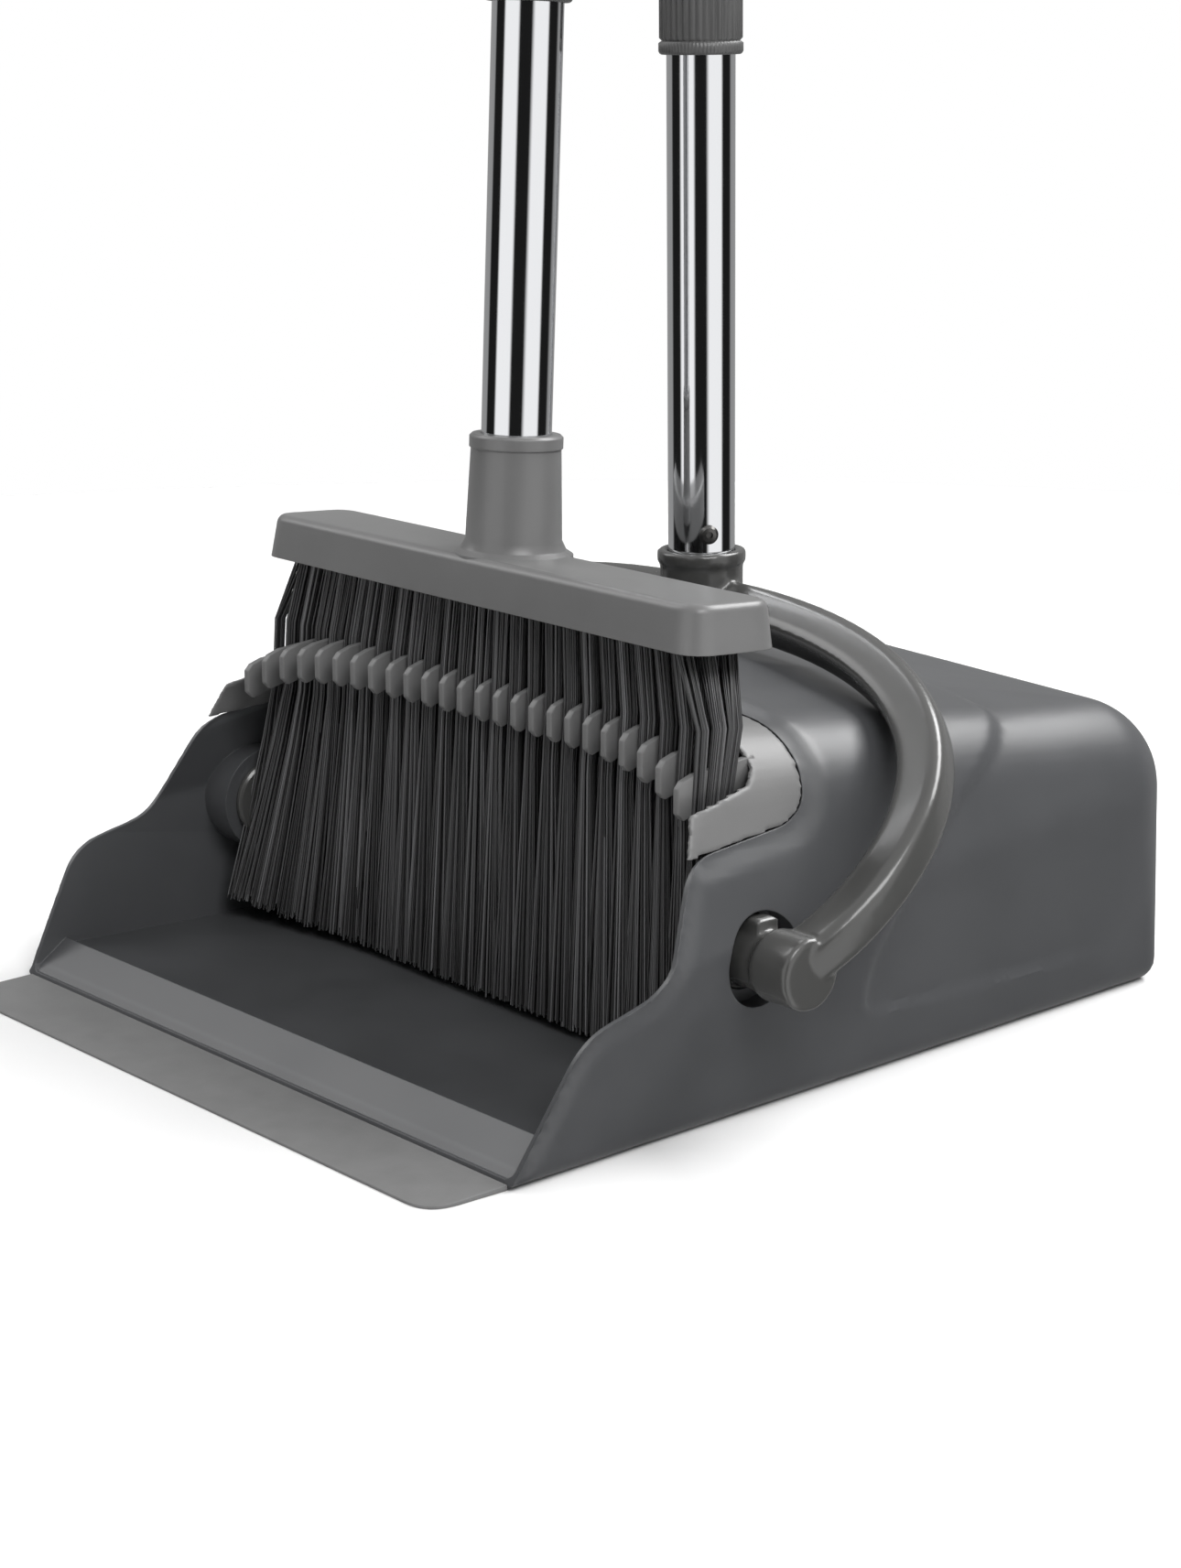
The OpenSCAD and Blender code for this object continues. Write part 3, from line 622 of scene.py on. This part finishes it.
def build_pan():
    """The hooded pan; gives the skin that the comb is cut from."""
    s = bpy.context.scene.dustpan_pan
    pan = dense_form("hooded_pan")
    comb_skin = new_object("toothed_comb", pan.data.copy())
    floor = s.floor_height / MM
    ramp = s.ramp_depth / MM
    room = pan_form("room", s.wall / MM, 48)
    sill = FRONT_WALL[0][1]
    over_floor = [(AHEAD, sill), (0, sill), (ramp, floor + 1.8), (ramp + 3, floor),
                  (BEHIND, floor), (BEHIND, FAR), (AHEAD, FAR)]
    combine(room, prism("over_floor", over_floor, -FAR, FAR), "INTERSECT")
    for way in (-1, 1):
        combine(room, hinge_cylinder("boss", BOSS_R, way * BOSS_X, way * 140), "DIFFERENCE")
    combine(pan, room, "DIFFERENCE")
    ahead = [Vector((AHEAD, -5)), Vector((0, -5))] + side_path()
    ahead += [Vector((SEAM_BACK, FAR)), Vector((AHEAD, FAR))]
    combine(pan, prism("ahead", ahead, -FAR, FAR), "DIFFERENCE")
    play = 0.08
    for way in (-1, 1):
        for radius, floor_x in ((RECESS_R, RECESS_X), (PIN_R + play, BOSS_X - 2)):
            cutter = hinge_cylinder("cutter", radius, way * floor_x, way * 150)
            combine(pan, cutter, "DIFFERENCE")
    # Two small ribs in the front of each recess, where the upright bail comes to rest
    bm = bmesh.new()
    bm.from_mesh(pan.data)
    for way in (-1, 1):
        for side in (-1, 1):
            middle = at(way * (RECESS_X + 1.4), HINGE_Y - RECESS_R - 0.35, HINGE_Z + side * 2.6)
            rib = brick(bm, middle, 4, 2.6, 1.5)
            soften(bm, list({e for v in rib for e in v.link_edges}), 0.4, 2)
    bm.to_mesh(pan.data)
    bm.free()
    finish_piece(pan, "pan", "pan_plastic", "pan_shell", sharp=32)
    return comb_skin


def build_comb(skin):
    """The comb: a curved band flush in the hood's front with a row of teeth."""
    s = bpy.context.scene.dustpan_pan
    outline = rounded([FRONT_WALL[-1]] + COMB_SEAM, SEAM_BEND)
    outline += [Vector(VISOR_BACK), Vector(VISOR_FRONT), Vector((72.5, 92))]
    comb = combine(skin, prism("band_outline", outline, -FAR, FAR), "INTERSECT")
    slope = (VISOR_BACK[1] - VISOR_FRONT[1]) / (VISOR_BACK[0] - VISOR_FRONT[0])

    def visor(y):
        """The height of the band's upper face, straight from its front edge to its back."""
        return VISOR_FRONT[1] + (y - VISOR_FRONT[0]) * slope

    room = pan_form("room", s.wall / MM + 1, 48)
    under = [(50, 50), (140, 50), (140, visor(140) - BAND), (60, visor(60) - BAND)]
    combine(room, prism("under", under, -FAR, FAR), "INTERSECT")
    combine(comb, room, "DIFFERENCE")
    band_y = VISOR_FRONT[0] + 19
    opening = [(-10, 0), (band_y, 0), (band_y, FAR), (-10, FAR)]
    combine(comb, prism("opening", opening, -EAR_X, EAR_X), "DIFFERENCE")
    ear = [(60, 87), (73, 88), (94, 92), (band_y, 96), (band_y, FAR), (60, FAR)]
    for way in (-1, 1):
        combine(comb, prism("ear_cut", ear, *sorted((way * EAR_X, way * FAR))), "DIFFERENCE")
    fuse(comb, 0.8, 3)
    bm = bmesh.new()
    bm.from_mesh(comb.data)
    reach, root, tip_z = s.tooth_span / MM, band_y + 3, 100
    width = s.tooth_thickness / MM
    # The row of tips bows forward and drops at its ends
    bow, drop = 6, 10.5
    for i in range(s.teeth):
        share = 2 * i / (s.teeth - 1) - 1
        x = reach * share
        y = VISOR_FRONT[0] - bow * share ** 2
        z = tip_z - drop * abs(share) ** 6
        side = [(y, z - 3.6), (y + 2, z - 5.6), (root, z + 1.6), (root, z + 9),
                (y + 6, z + 6.8), (y + 1.8, z + 5.4), (y, z + 3.4)]
        tooth = slab(side, x - width / 2, width)
        soften(tooth, tooth.edges[:], 0.35, 2)
        put(bm, tooth, Matrix.Identity(4))
    bm.to_mesh(comb.data)
    bm.free()
    finish_piece(comb, "pan", "comb_plastic", "comb", sharp=32)


class DUSTPAN_OT_pan(bpy.types.Operator):
    """Builds the hooded pan and the toothed comb that snaps into its front"""
    bl_idname = "dustpan.pan"
    bl_label = "Pan and comb"

    def execute(self, context):
        build_comb(build_pan())
        return {"FINISHED"}


class DUSTPAN_OT_lip(bpy.types.Operator):
    """Builds the soft lip along the pan's front edge"""
    bl_idname = "dustpan.lip"
    bl_label = "Soft lip"

    def execute(self, context):
        s = context.scene.dustpan_pan
        low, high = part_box("lip_strip")
        corner = 10 * MM
        outline = [(low.x, high.y), (low.x, low.y), (high.x, low.y), (high.x, high.y)]
        bm = bmesh.new()
        for v in extruded(bm, [(p.x, p.y, low.z) for p in rounded(outline, corner, steps=10)]):
            share = (v.co.y - low.y) / (high.y - low.y)
            v.co.z += s.lip_tip + (s.lip_thickness - s.lip_tip) * share
        bmesh.ops.recalc_face_normals(bm, faces=bm.faces)
        soften(bm, bm.edges[:], 0.3, 3)
        finish_piece(to_object("soft_lip", bm), "pan", "lip_rubber", "lip_strip")
        return {"FINISHED"}


# The bail handle

# The bail's plane: its bar's place above and behind the hinge
BAR_Y, BAR_Z = 90.6, 70.88
# Height of its bends, and how square they are: 2 is an ellipse
BEND_H, BEND_SHAPE = 89, 2.4
# The centre line inside the bail's own width, and how far each leg is drawn in at the hinge
# and over what length
LINE_IN, DRAWN_IN, DRAWN_OVER = 7.5, 5, 35
# Outer face of the end knobs, and their thickness
KNOB_X, KNOB_W = 145, 16
# The socket for the pan's handle: rim above the tube's foot, depth, outer and inner radius
RIM_UP, CUP_H, CUP_R, CUP_BORE = 17, 23, 13.05, 10.6


def signed_power(value, power):
    """A power of a number's size, with the number's own sign."""
    return math.copysign(abs(value) ** power, value)


def socket_rim():
    """The height of the bail socket's rim along the pan's handle."""
    return span("pan_tube_lower", PAN_LINE)[0] + RIM_UP * MM


def bail_line():
    """The bail's centre line from one hinge to the other, as frames with +Z along it."""
    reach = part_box("bail_handle")[1].x - LINE_IN * MM
    bar = Vector((0, BAR_Y * MM, BAR_Z * MM))
    up = bar.normalized()
    bend = BEND_H * MM
    foot = math.hypot(bar.y, bar.z) - bend
    power = 2 / BEND_SHAPE
    start = math.asin((foot / bend) ** (1 / power))
    stations = 120
    points = []
    for i in range(stations + 1):
        a = -start + i / stations * (math.pi + 2 * start)
        across = reach * signed_power(math.cos(a), power)
        along = foot + bend * signed_power(math.sin(a), power)
        drawn = DRAWN_IN * MM * max(0, 1 - along / (DRAWN_OVER * MM)) ** 2
        across -= math.copysign(drawn, across)
        points.append(HINGE + Vector((across, 0, 0)) + up * along)
    frames = []
    plane = Vector((1, 0, 0)).cross(up)
    for i, p in enumerate(points):
        ahead = (points[min(i + 1, stations)] - points[max(i - 1, 0)]).normalized()
        side = plane.cross(ahead)
        turn = Matrix((side, plane, ahead)).transposed().to_4x4()
        frames.append(Matrix.Translation(p) @ turn)
    return frames


def build_bail():
    """The bail: an arch between two knobs with the pan handle's socket at its middle."""
    s = bpy.context.scene.dustpan_handle
    bm = bmesh.new()
    rings = []
    squareness = 0.5
    for place in bail_line():
        ring = bmesh.ops.create_circle(bm, cap_ends=False, segments=28, radius=1)["verts"]
        for v in ring:
            v.co = place @ Vector((s.bail_thickness / 2 * signed_power(v.co.x, squareness),
                                   s.bail_breadth / 2 * signed_power(v.co.y, squareness), 0))
        rings.append(ring)
    for near, far in zip(rings, rings[1:]):
        edges = {e for v in near + far for e in v.link_edges}
        loop = [e for e in edges if (e.verts[0] in near and e.verts[1] in near)
                or (e.verts[0] in far and e.verts[1] in far)]
        bmesh.ops.bridge_loops(bm, edges=loop)
    bmesh.ops.holes_fill(bm, edges=[e for e in bm.edges if e.is_boundary], sides=0)
    bmesh.ops.recalc_face_normals(bm, faces=bm.faces)
    knob, knob_x = s.knob_diameter / 2, KNOB_X * MM
    pin, shoulder = (BOSS_X - 0.3) * MM, knob_x - KNOB_W * MM
    neck = 8.7 * MM
    for way in (-1, 1):
        turned = lathe([(0, pin), (PIN_R * MM - 0.5 * MM, pin), (PIN_R * MM, pin + 0.5 * MM),
                        (PIN_R * MM, RECESS_X * MM), (neck, (RECESS_X + 1) * MM), (neck, shoulder),
                        (knob, shoulder + 2 * MM),
                        (knob, knob_x - 1.1 * MM), (knob - 0.4 * MM, knob_x - 0.3 * MM),
                        (knob - 1.2 * MM, knob_x), (0, knob_x)], closed=False)
        put(bm, turned, hinge_frame(way))
        # The key beside the pin
        brick(bm, HINGE + Vector((way * (RECESS_X + 5) * MM, 0, 6.2 * MM)), 9, 7.5, 12)
    rim = socket_rim()
    cup_r, bore = CUP_R * MM, CUP_BORE * MM
    floor = rim - CUP_H * MM
    cup = lathe([(0, floor), (cup_r - 1 * MM, floor), (cup_r, floor + 1 * MM),
                 (cup_r, rim - 4.4 * MM), (cup_r + 0.9 * MM, rim - 3.8 * MM),
                 (cup_r + 0.9 * MM, rim - 0.6 * MM), (cup_r + 0.3 * MM, rim), (bore, rim),
                 (bore, rim - 12 * MM), (0, rim - 12 * MM)], closed=False)
    put(bm, cup, PAN_LINE)
    bail = to_object("bail", bm)
    fuse(bail, 0.75, 5)
    finish_piece(bail, "handle", "bail_plastic", "bail_handle", sharp=0)


class DUSTPAN_OT_bail(bpy.types.Operator):
    """Builds the bail handle with its end knobs and socket, the inner caps and the tube screw"""
    bl_idname = "dustpan.bail"
    bl_label = "Bail handle"

    def execute(self, context):
        build_bail()
        bm = bmesh.new()
        cap_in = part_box("pivot_caps")[1].x
        for way in (-1, 1):
            put(bm, lathe([(0, cap_in), (13 * MM, cap_in), (13 * MM, cap_in - 1.5 * MM),
                           (12.2 * MM, cap_in - 2.2 * MM), (3.2 * MM, cap_in - 2.2 * MM),
                           (2.4 * MM, cap_in - 1.4 * MM), (0, cap_in - 1.4 * MM)],
                          closed=False), hinge_frame(way))
        finish_piece(to_object("hinge_caps", bm), "handle", "bail_plastic", "pivot_caps")
        bm = bmesh.new()
        above_rim, turn, face = 6 * MM, math.radians(-30), CUP_BORE * MM
        height = Matrix.Translation((0, 0, socket_rim() + above_rim))
        place = PAN_LINE @ Matrix.Rotation(turn, 4, "Z") @ height @ X_AXIS
        put(bm, lathe([(0, 3 * MM), (1.4 * MM, 3 * MM), (1.4 * MM, face), (3 * MM, face),
                       (3 * MM, face + 0.5 * MM), (2.2 * MM, face + 1.3 * MM),
                       (1.1 * MM, face + 1.5 * MM), (1.0 * MM, face + 0.5 * MM),
                       (0, face + 0.5 * MM)], steps=36, closed=False), place)
        finish_piece(to_object("socket_screw", bm), "handle", "screw_steel", "tube_screw", sharp=30)
        return {"FINISHED"}


# Tubes, collars and grips

TUBES = {
    "handle": (PAN_LINE, ("pan_tube_lower", "pan_tube_middle", "pan_tube_upper")),
    "broom": (BROOM_LINE, ("broom_tube_1", "broom_tube_2", "broom_tube_3", "broom_tube_4")),
}
COLLARS = {
    "pan_collar_low": (PAN_LINE, "pan_collar_lower"),
    "pan_collar_high": (PAN_LINE, "pan_collar_upper"),
    "broom_collar_low": (BROOM_LINE, "broom_collar_1"),
    "broom_collar_mid": (BROOM_LINE, "broom_collar_2"),
    "broom_collar_high": (BROOM_LINE, "broom_collar_3"),
}


class DUSTPAN_OT_tubes(bpy.types.Operator):
    """Builds the steel tubes of both handles, with their edges turned in at the ends"""
    bl_idname = "dustpan.tubes"
    bl_label = "Steel tubes"

    def execute(self, context):
        for body, (line, nodes) in TUBES.items():
            for node in nodes:
                low, high, radius = span(node, line)
                bore = radius - 1 * MM
                edge = 0.25 * MM
                bm = lathe([(bore, low), (radius - edge, low), (radius, low + edge),
                            (radius, high - edge), (radius - edge, high), (bore, high)], steps=96)
                bmesh.ops.transform(bm, matrix=line, verts=bm.verts)
                tube = to_object(node.replace("tube", "steel"), bm)
                finish_piece(tube, body, "tube_steel", node)
        return {"FINISHED"}


class DUSTPAN_OT_collars(bpy.types.Operator):
    """Builds the fluted screw collars, each with a knurled ring at its foot"""
    bl_idname = "dustpan.collars"
    bl_label = "Screw collars"

    def execute(self, context):
        s = context.scene.dustpan_handle
        for body, (line, node) in COLLARS.items():
            low, high, radius = span(node, line)
            bore = 10.8 * MM
            crest = radius - 0.3 * MM
            profile = [(bore, low + 0.8 * MM), (crest - 0.7 * MM, low),
                       (radius - 0.5 * MM, low + 0.3 * MM), (radius, low + 1.0 * MM),
                       (radius, low + 3.4 * MM), (crest - 0.8 * MM, low + 4.1 * MM),
                       (crest, low + 4.9 * MM), (crest, (low + high) / 2), (crest, high - 3.6 * MM),
                       (crest - 0.7 * MM, high - 2.9 * MM), (crest - 0.1 * MM, high - 2.4 * MM),
                       (crest - 0.1 * MM, high - 0.9 * MM), (crest - 0.9 * MM, high), (bore, high)]
            bm = lathe(profile, steps=s.flutes * 6)
            knurl = 0.45 * MM
            for v in bm.verts:
                angle = s.flutes * math.atan2(v.co.y, v.co.x)
                r = math.hypot(v.co.x, v.co.y)
                if abs(r - crest) < 0.05 * MM and low + 4.5 * MM < v.co.z < high - 3.2 * MM:
                    cut = s.flute_depth * (0.5 + 0.5 * math.cos(angle)) ** 1.5
                elif abs(r - radius) < 0.02 * MM:
                    cut = knurl * (0.5 + 0.5 * math.cos(2 * angle))
                else:
                    cut = 0
                v.co.x *= (r - cut) / r
                v.co.y *= (r - cut) / r
            bmesh.ops.transform(bm, matrix=line, verts=bm.verts)
            finish_piece(to_object(node.replace("collar", "screw_collar"), bm), body,
                         "collar_plastic", node, sharp=50)
        return {"FINISHED"}


class DUSTPAN_OT_grips(bpy.types.Operator):
    """Softens the two moulded grips and the clip that joins the handles"""
    bl_idname = "dustpan.grips"
    bl_label = "Grips and clip"

    def execute(self, context):
        for name, node, body, slot in (("pan_hand_grip", "pan_grip", "handle", "grip_plastic"),
                                       ("broom_hand_grip", "broom_grip", "broom", "grip_plastic"),
                                       ("tube_clip", "handle_clip", "clip", "clip_plastic")):
            piece = fuse(cad_copy(name, node), 0.85, 5)
            finish_piece(piece, body, slot, node, sharp=0)
        for body, nodes in (("handle", ("pan_joiner_lower", "pan_joiner_upper")),
                            ("broom", ("broom_joiner_1", "broom_joiner_2", "broom_joiner_3"))):
            for node in nodes:
                piece = frame["nodes"][node]
                piece.data.materials.clear()
                piece.data.materials.append(finishes()["joiner_plastic"])
        return {"FINISHED"}


# The broom

# Each row's place across the head, in millimetres: at its root, in the comb and at its tips
ROWS = ((-12, -14.2, -14.6), (-3.8, -9.4, -9.6), (4.6, -4.6, -5.4))
# In the head's frame, in millimetres: the block's underside, its height, and its place in
# front of the socket; then the heights of the fibres' roots, of the comb and of their tips
BLOCK_LOW, BLOCK_H, BLOCK_Y = -15, 13.6, -3.5
ROOT_Z, COMB_Z, TIP_Z = -12, -57, -133.2


class DUSTPAN_OT_broom_head(bpy.types.Operator):
    """Builds the broom's head with its tapered block, rounded along its top, and its socket"""
    bl_idname = "dustpan.broom_head"
    bl_label = "Broom head"

    def execute(self, context):
        top = broom_top()
        low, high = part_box("broom_head")
        half_x, half_y, corner = (high.x - low.x) / 2 + 0.6 * MM, 16.5 * MM, 9 * MM
        corners = [(0, -half_y), (half_x, -half_y), (half_x, half_y), (-half_x, half_y),
                   (-half_x, -half_y), (0, -half_y)]
        shape = rounded(corners, corner, steps=10)[:-1]
        block = bmesh.new()
        lid = extruded(block, [(p.x, p.y, BLOCK_LOW * MM) for p in shape])
        bmesh.ops.translate(block, verts=lid, vec=(0, 0, BLOCK_H * MM))
        bmesh.ops.scale(block, verts=lid, vec=(0.985, 0.9, 1))
        bmesh.ops.recalc_face_normals(block, faces=block.faces)
        soften(block, [e for e in block.edges if min(v.co.z for v in e.verts) > -2 * MM], 2.4, 5)
        yaw = Matrix.Rotation(BROOM_YAW, 4, "Z") @ Matrix.Translation((0, BLOCK_Y * MM, 0))
        bmesh.ops.transform(block, matrix=top @ yaw, verts=block.verts)
        foot, rim_r, tube = 14.5 * MM, 14.0 * MM, 10.6 * MM
        high_z = 34 * MM
        socket = lathe([(0, -8 * MM), (18 * MM, -8 * MM), (18 * MM, -1.5 * MM),
                        (15.9 * MM, -0.2 * MM), (foot, 2.6 * MM), (13.5 * MM, high_z - 4.4 * MM),
                        (rim_r, high_z - 4 * MM), (rim_r, high_z - 0.8 * MM),
                        (rim_r - 0.8 * MM, high_z), (tube, high_z), (tube, -5 * MM),
                        (0, -5 * MM)], closed=False)
        bmesh.ops.transform(socket, matrix=top, verts=socket.verts)
        head = combine(to_object("broom_block", block), to_object("socket", socket), "UNION")
        finish_piece(head, "broom", "head_plastic", "broom_head", sharp=30)
        return {"FINISHED"}


def broom_top():
    """The frame at the foot of the broom's socket, on top of the head."""
    low = span("broom_tube_1", BROOM_LINE)[0] + 5 * MM
    return BROOM_LINE @ Matrix.Translation((0, 0, low))


class DUSTPAN_OT_bristles(bpy.types.Operator):
    """Grows the bristles, fibre by fibre, in rows of tufts combed between the pan's teeth"""
    bl_idname = "dustpan.bristles"
    bl_label = "Bristles"

    def execute(self, context):
        s = context.scene.dustpan_broom
        place = broom_top() @ Matrix.Rotation(BROOM_YAW, 4, "Z")
        random.seed(7)
        for row, across in enumerate(ROWS):
            curve = bpy.data.curves.new("fibres", "CURVE")
            curve.dimensions = "3D"
            curve.bevel_depth = s.fibre / 2
            curve.bevel_resolution = 0
            curve.use_fill_caps = True
            for tuft in range(s.tufts):
                share = (tuft + 0.5) / s.tufts * 2 - 1
                for _ in range(s.fibres):
                    add_fibre(curve, place, share, *across)
            fibres = new_object("fibres", curve)
            piece = new_object(f"bristle_row_{row + 1}", final_mesh(fibres))
            bpy.data.objects.remove(fibres)
            nodes = ("bristles",) if row == 0 else ()
            finish_piece(piece, "broom", "bristle_fibre", *nodes, sharp=0)
        return {"FINISHED"}


def add_fibre(curve, place, share, root_y, comb_y, tip_y):
    """One fibre from its tuft, between two teeth of the comb, to the floor. Its points are in
    millimetres in the head's frame, and share is its tuft's place along the row, -1 to 1."""
    sizes = bpy.context.scene.dustpan_broom
    reach = bpy.context.scene.dustpan_pan.tooth_span / MM
    root_reach, tip_reach = 97, 108
    angle = random.uniform(0, math.tau)
    spread = math.sqrt(random.random())
    dx, dy = math.cos(angle) * spread, math.sin(angle) * spread
    radius = sizes.tuft_radius / MM
    root_x, root_y = share * root_reach + dx * radius, root_y + dy * radius
    comb_x, comb_y = share * reach + 0.35 + dx * 2.5, comb_y + dy * 2.2
    # Some fibres of the end tufts pass outside the last tooth
    if abs(share) > 0.95 and random.random() < 0.4:
        comb_x = math.copysign(reach + 2.1, share) + 0.5 * dx
    tip_x = share * tip_reach + dx * 6.4 + random.gauss(0, 0.5)
    # The left end is splayed outwards and forwards, with its tips a little off the floor
    if share < 0:
        tip_x -= 7 * share ** 4
    splay = max(0, -share - 0.35) ** 2
    tip_y = tip_y + dy * 3.4 - 32 * splay
    bottom = TIP_Z + abs(random.gauss(0, 1.3)) + 10 * splay
    heights = (ROOT_Z, -24, -36, COMB_Z, -75, -105, bottom)
    spline = curve.splines.new("POLY")
    spline.points.add(len(heights) - 1)
    for point, z in zip(spline.points, heights):
        above = eased((ROOT_Z - z) / 24)
        below = max(0, (COMB_Z - z) / (COMB_Z - bottom))
        lean = min(1, (ROOT_Z - z) / 34)
        x = root_x + (comb_x - root_x) * above + (tip_x - comb_x) * below
        y = root_y + (comb_y - root_y) * lean + (tip_y - comb_y) * below ** 1.15
        point.co = (*(place @ (Vector((x, y, z)) * MM)), 1)


# Stage

class DUSTPAN_OT_stage(bpy.types.Operator):
    """Sets the floor, the studio light and the camera"""
    bl_idname = "dustpan.stage"
    bl_label = "Stage"

    def execute(self, context):
        scene = context.scene
        bm = bmesh.new()
        bmesh.ops.create_circle(bm, cap_ends=True, segments=96, radius=1.1)
        floor = to_object("floor", bm)
        material, tree = new_material("Matt white paper")
        shader = add(tree, "ShaderNodeBsdfPrincipled", {
            "Base Color": (0.9, 0.9, 0.9, 1), "Roughness": 0.9, "Specular IOR Level": 0.1})
        add(tree, "ShaderNodeOutputMaterial", {"Surface": shader.outputs["BSDF"]})
        floor.data.materials.append(material)
        floor.visible_glossy = False
        scene.view_settings.view_transform = "Standard"
        for name, place, target, size, power in (
                ("key", (1.7, -0.5, 1.9), (0, 0.05, 0.05), (1.3, 1.0), 34),
                ("front strip", (-1.3, -0.6, 1.2), (0, 0, 0.1), (0.7, 1.2), 8),
                ("back strip", (0.3, 1.2, 1.5), (0, 0.1, 0.08), (1.4, 0.7), 34)):
            light = bpy.data.lights.new(name, "AREA")
            light.shape = "RECTANGLE"
            light.size, light.size_y = size
            light.energy = power
            lamp = new_object(name, light)
            lamp.location = place
            aim = Vector(target) - Vector(place)
            lamp.rotation_euler = aim.to_track_quat("-Z", "Y").to_euler()
        make_studio(scene)
        camera = bpy.data.cameras.new("camera")
        camera.lens = 71.58
        camera.sensor_width = 36
        camera.clip_start = 0.02
        eye = new_object("camera", camera)
        eye.location = (0.7191, -0.6163, 0.2973)
        eye.rotation_euler = (math.radians(90 - 13.82), 0, math.radians(49.85))
        scene.camera = eye
        return {"FINISHED"}


def make_studio(scene):
    """A white studio with dark gaps between its tall light banks, so polished tubes show
    upright dark and bright bands."""
    world = bpy.data.worlds.new("studio")
    scene.world = world
    world.use_nodes = True
    tree = world.node_tree
    tree.nodes.clear()
    way = add(tree, "ShaderNodeTexCoord").outputs["Generated"]
    parts = add(tree, "ShaderNodeSeparateXYZ", {"Vector": way})
    angle = add(tree, "ShaderNodeMath", {0: parts.outputs["Y"], 1: parts.outputs["X"]},
                operation="ARCTAN2")
    turn = add(tree, "ShaderNodeMapRange", {"Value": angle.outputs["Value"], "From Min": -math.pi,
                                            "From Max": math.pi})
    white, grey, black = (1, 1, 1), (0.3, 0.3, 0.3), (0.012, 0.012, 0.012)
    # Shares of a full turn round the set, from -X by way of -Y
    banks = shades(tree, turn.outputs["Result"], [
        (0.0, grey), (0.06, grey), (0.08, black), (0.17, black), (0.19, white), (0.31, white),
        (0.33, black), (0.43, black), (0.46, white), (0.58, white), (0.6, black), (0.69, black),
        (0.72, grey), (1.0, grey)])
    height = add(tree, "ShaderNodeMapRange", {"Value": parts.outputs["Z"], "From Min": 0.45,
                                              "From Max": 0.8})
    sky = add(tree, "ShaderNodeMix", {"Factor": height.outputs["Result"], "A": banks,
                                      "B": (0.8, 0.8, 0.8, 1)}, data_type="RGBA")
    rays = add(tree, "ShaderNodeLightPath")
    power = add(tree, "ShaderNodeMapRange", {"Value": rays.outputs["Is Glossy Ray"],
                                             "To Min": 0.6, "To Max": 1.15})
    studio = add(tree, "ShaderNodeBackground", {"Color": sky.outputs["Result"],
                                                "Strength": power.outputs["Result"]})
    plain = add(tree, "ShaderNodeBackground", {"Color": (1, 1, 1, 1), "Strength": 1.0})
    mixed = add(tree, "ShaderNodeMixShader", {0: rays.outputs["Is Camera Ray"],
                                              1: studio.outputs["Background"],
                                              2: plain.outputs["Background"]})
    add(tree, "ShaderNodeOutputWorld", {"Surface": mixed.outputs["Shader"]})


class DUSTPAN_PT_sidebar(bpy.types.Panel):
    """Lists the steps that build the set, with its sizes and colours"""
    bl_label = "Dustpan and brush"
    bl_idname = "DUSTPAN_PT_sidebar"
    bl_space_type = "VIEW_3D"
    bl_region_type = "UI"
    bl_category = "Dustpan"

    def draw(self, context):
        for step in STEPS:
            self.layout.operator(step.bl_idname, text=step.bl_label)
        for name in SETTINGS:
            group = getattr(context.scene, name)
            box = self.layout.box()
            for prop in group.__annotations__:
                box.prop(group, prop)


STEPS = (DUSTPAN_OT_stage, DUSTPAN_OT_pan, DUSTPAN_OT_lip, DUSTPAN_OT_bail, DUSTPAN_OT_tubes,
         DUSTPAN_OT_collars, DUSTPAN_OT_grips, DUSTPAN_OT_broom_head, DUSTPAN_OT_bristles)
SETTINGS = {"dustpan_pan": PanSizes, "dustpan_handle": HandleSizes, "dustpan_broom": BroomSizes,
            "dustpan_colours": FinishColours}


def register():
    for group in (*SETTINGS.values(), *STEPS, DUSTPAN_PT_sidebar):
        bpy.utils.register_class(group)
    for name, group in SETTINGS.items():
        setattr(bpy.types.Scene, name, PointerProperty(type=group))


def unregister():
    for name in SETTINGS:
        delattr(bpy.types.Scene, name)
    for group in reversed((*SETTINGS.values(), *STEPS, DUSTPAN_PT_sidebar)):
        bpy.utils.unregister_class(group)


def main():
    register()
    bpy.ops.dustpan.stage()
    bpy.ops.dustpan.pan()
    bpy.ops.dustpan.lip()
    bpy.ops.dustpan.bail()
    bpy.ops.dustpan.tubes()
    bpy.ops.dustpan.collars()
    bpy.ops.dustpan.grips()
    bpy.ops.dustpan.broom_head()
    bpy.ops.dustpan.bristles()


if __name__ == "__main__":
    main()
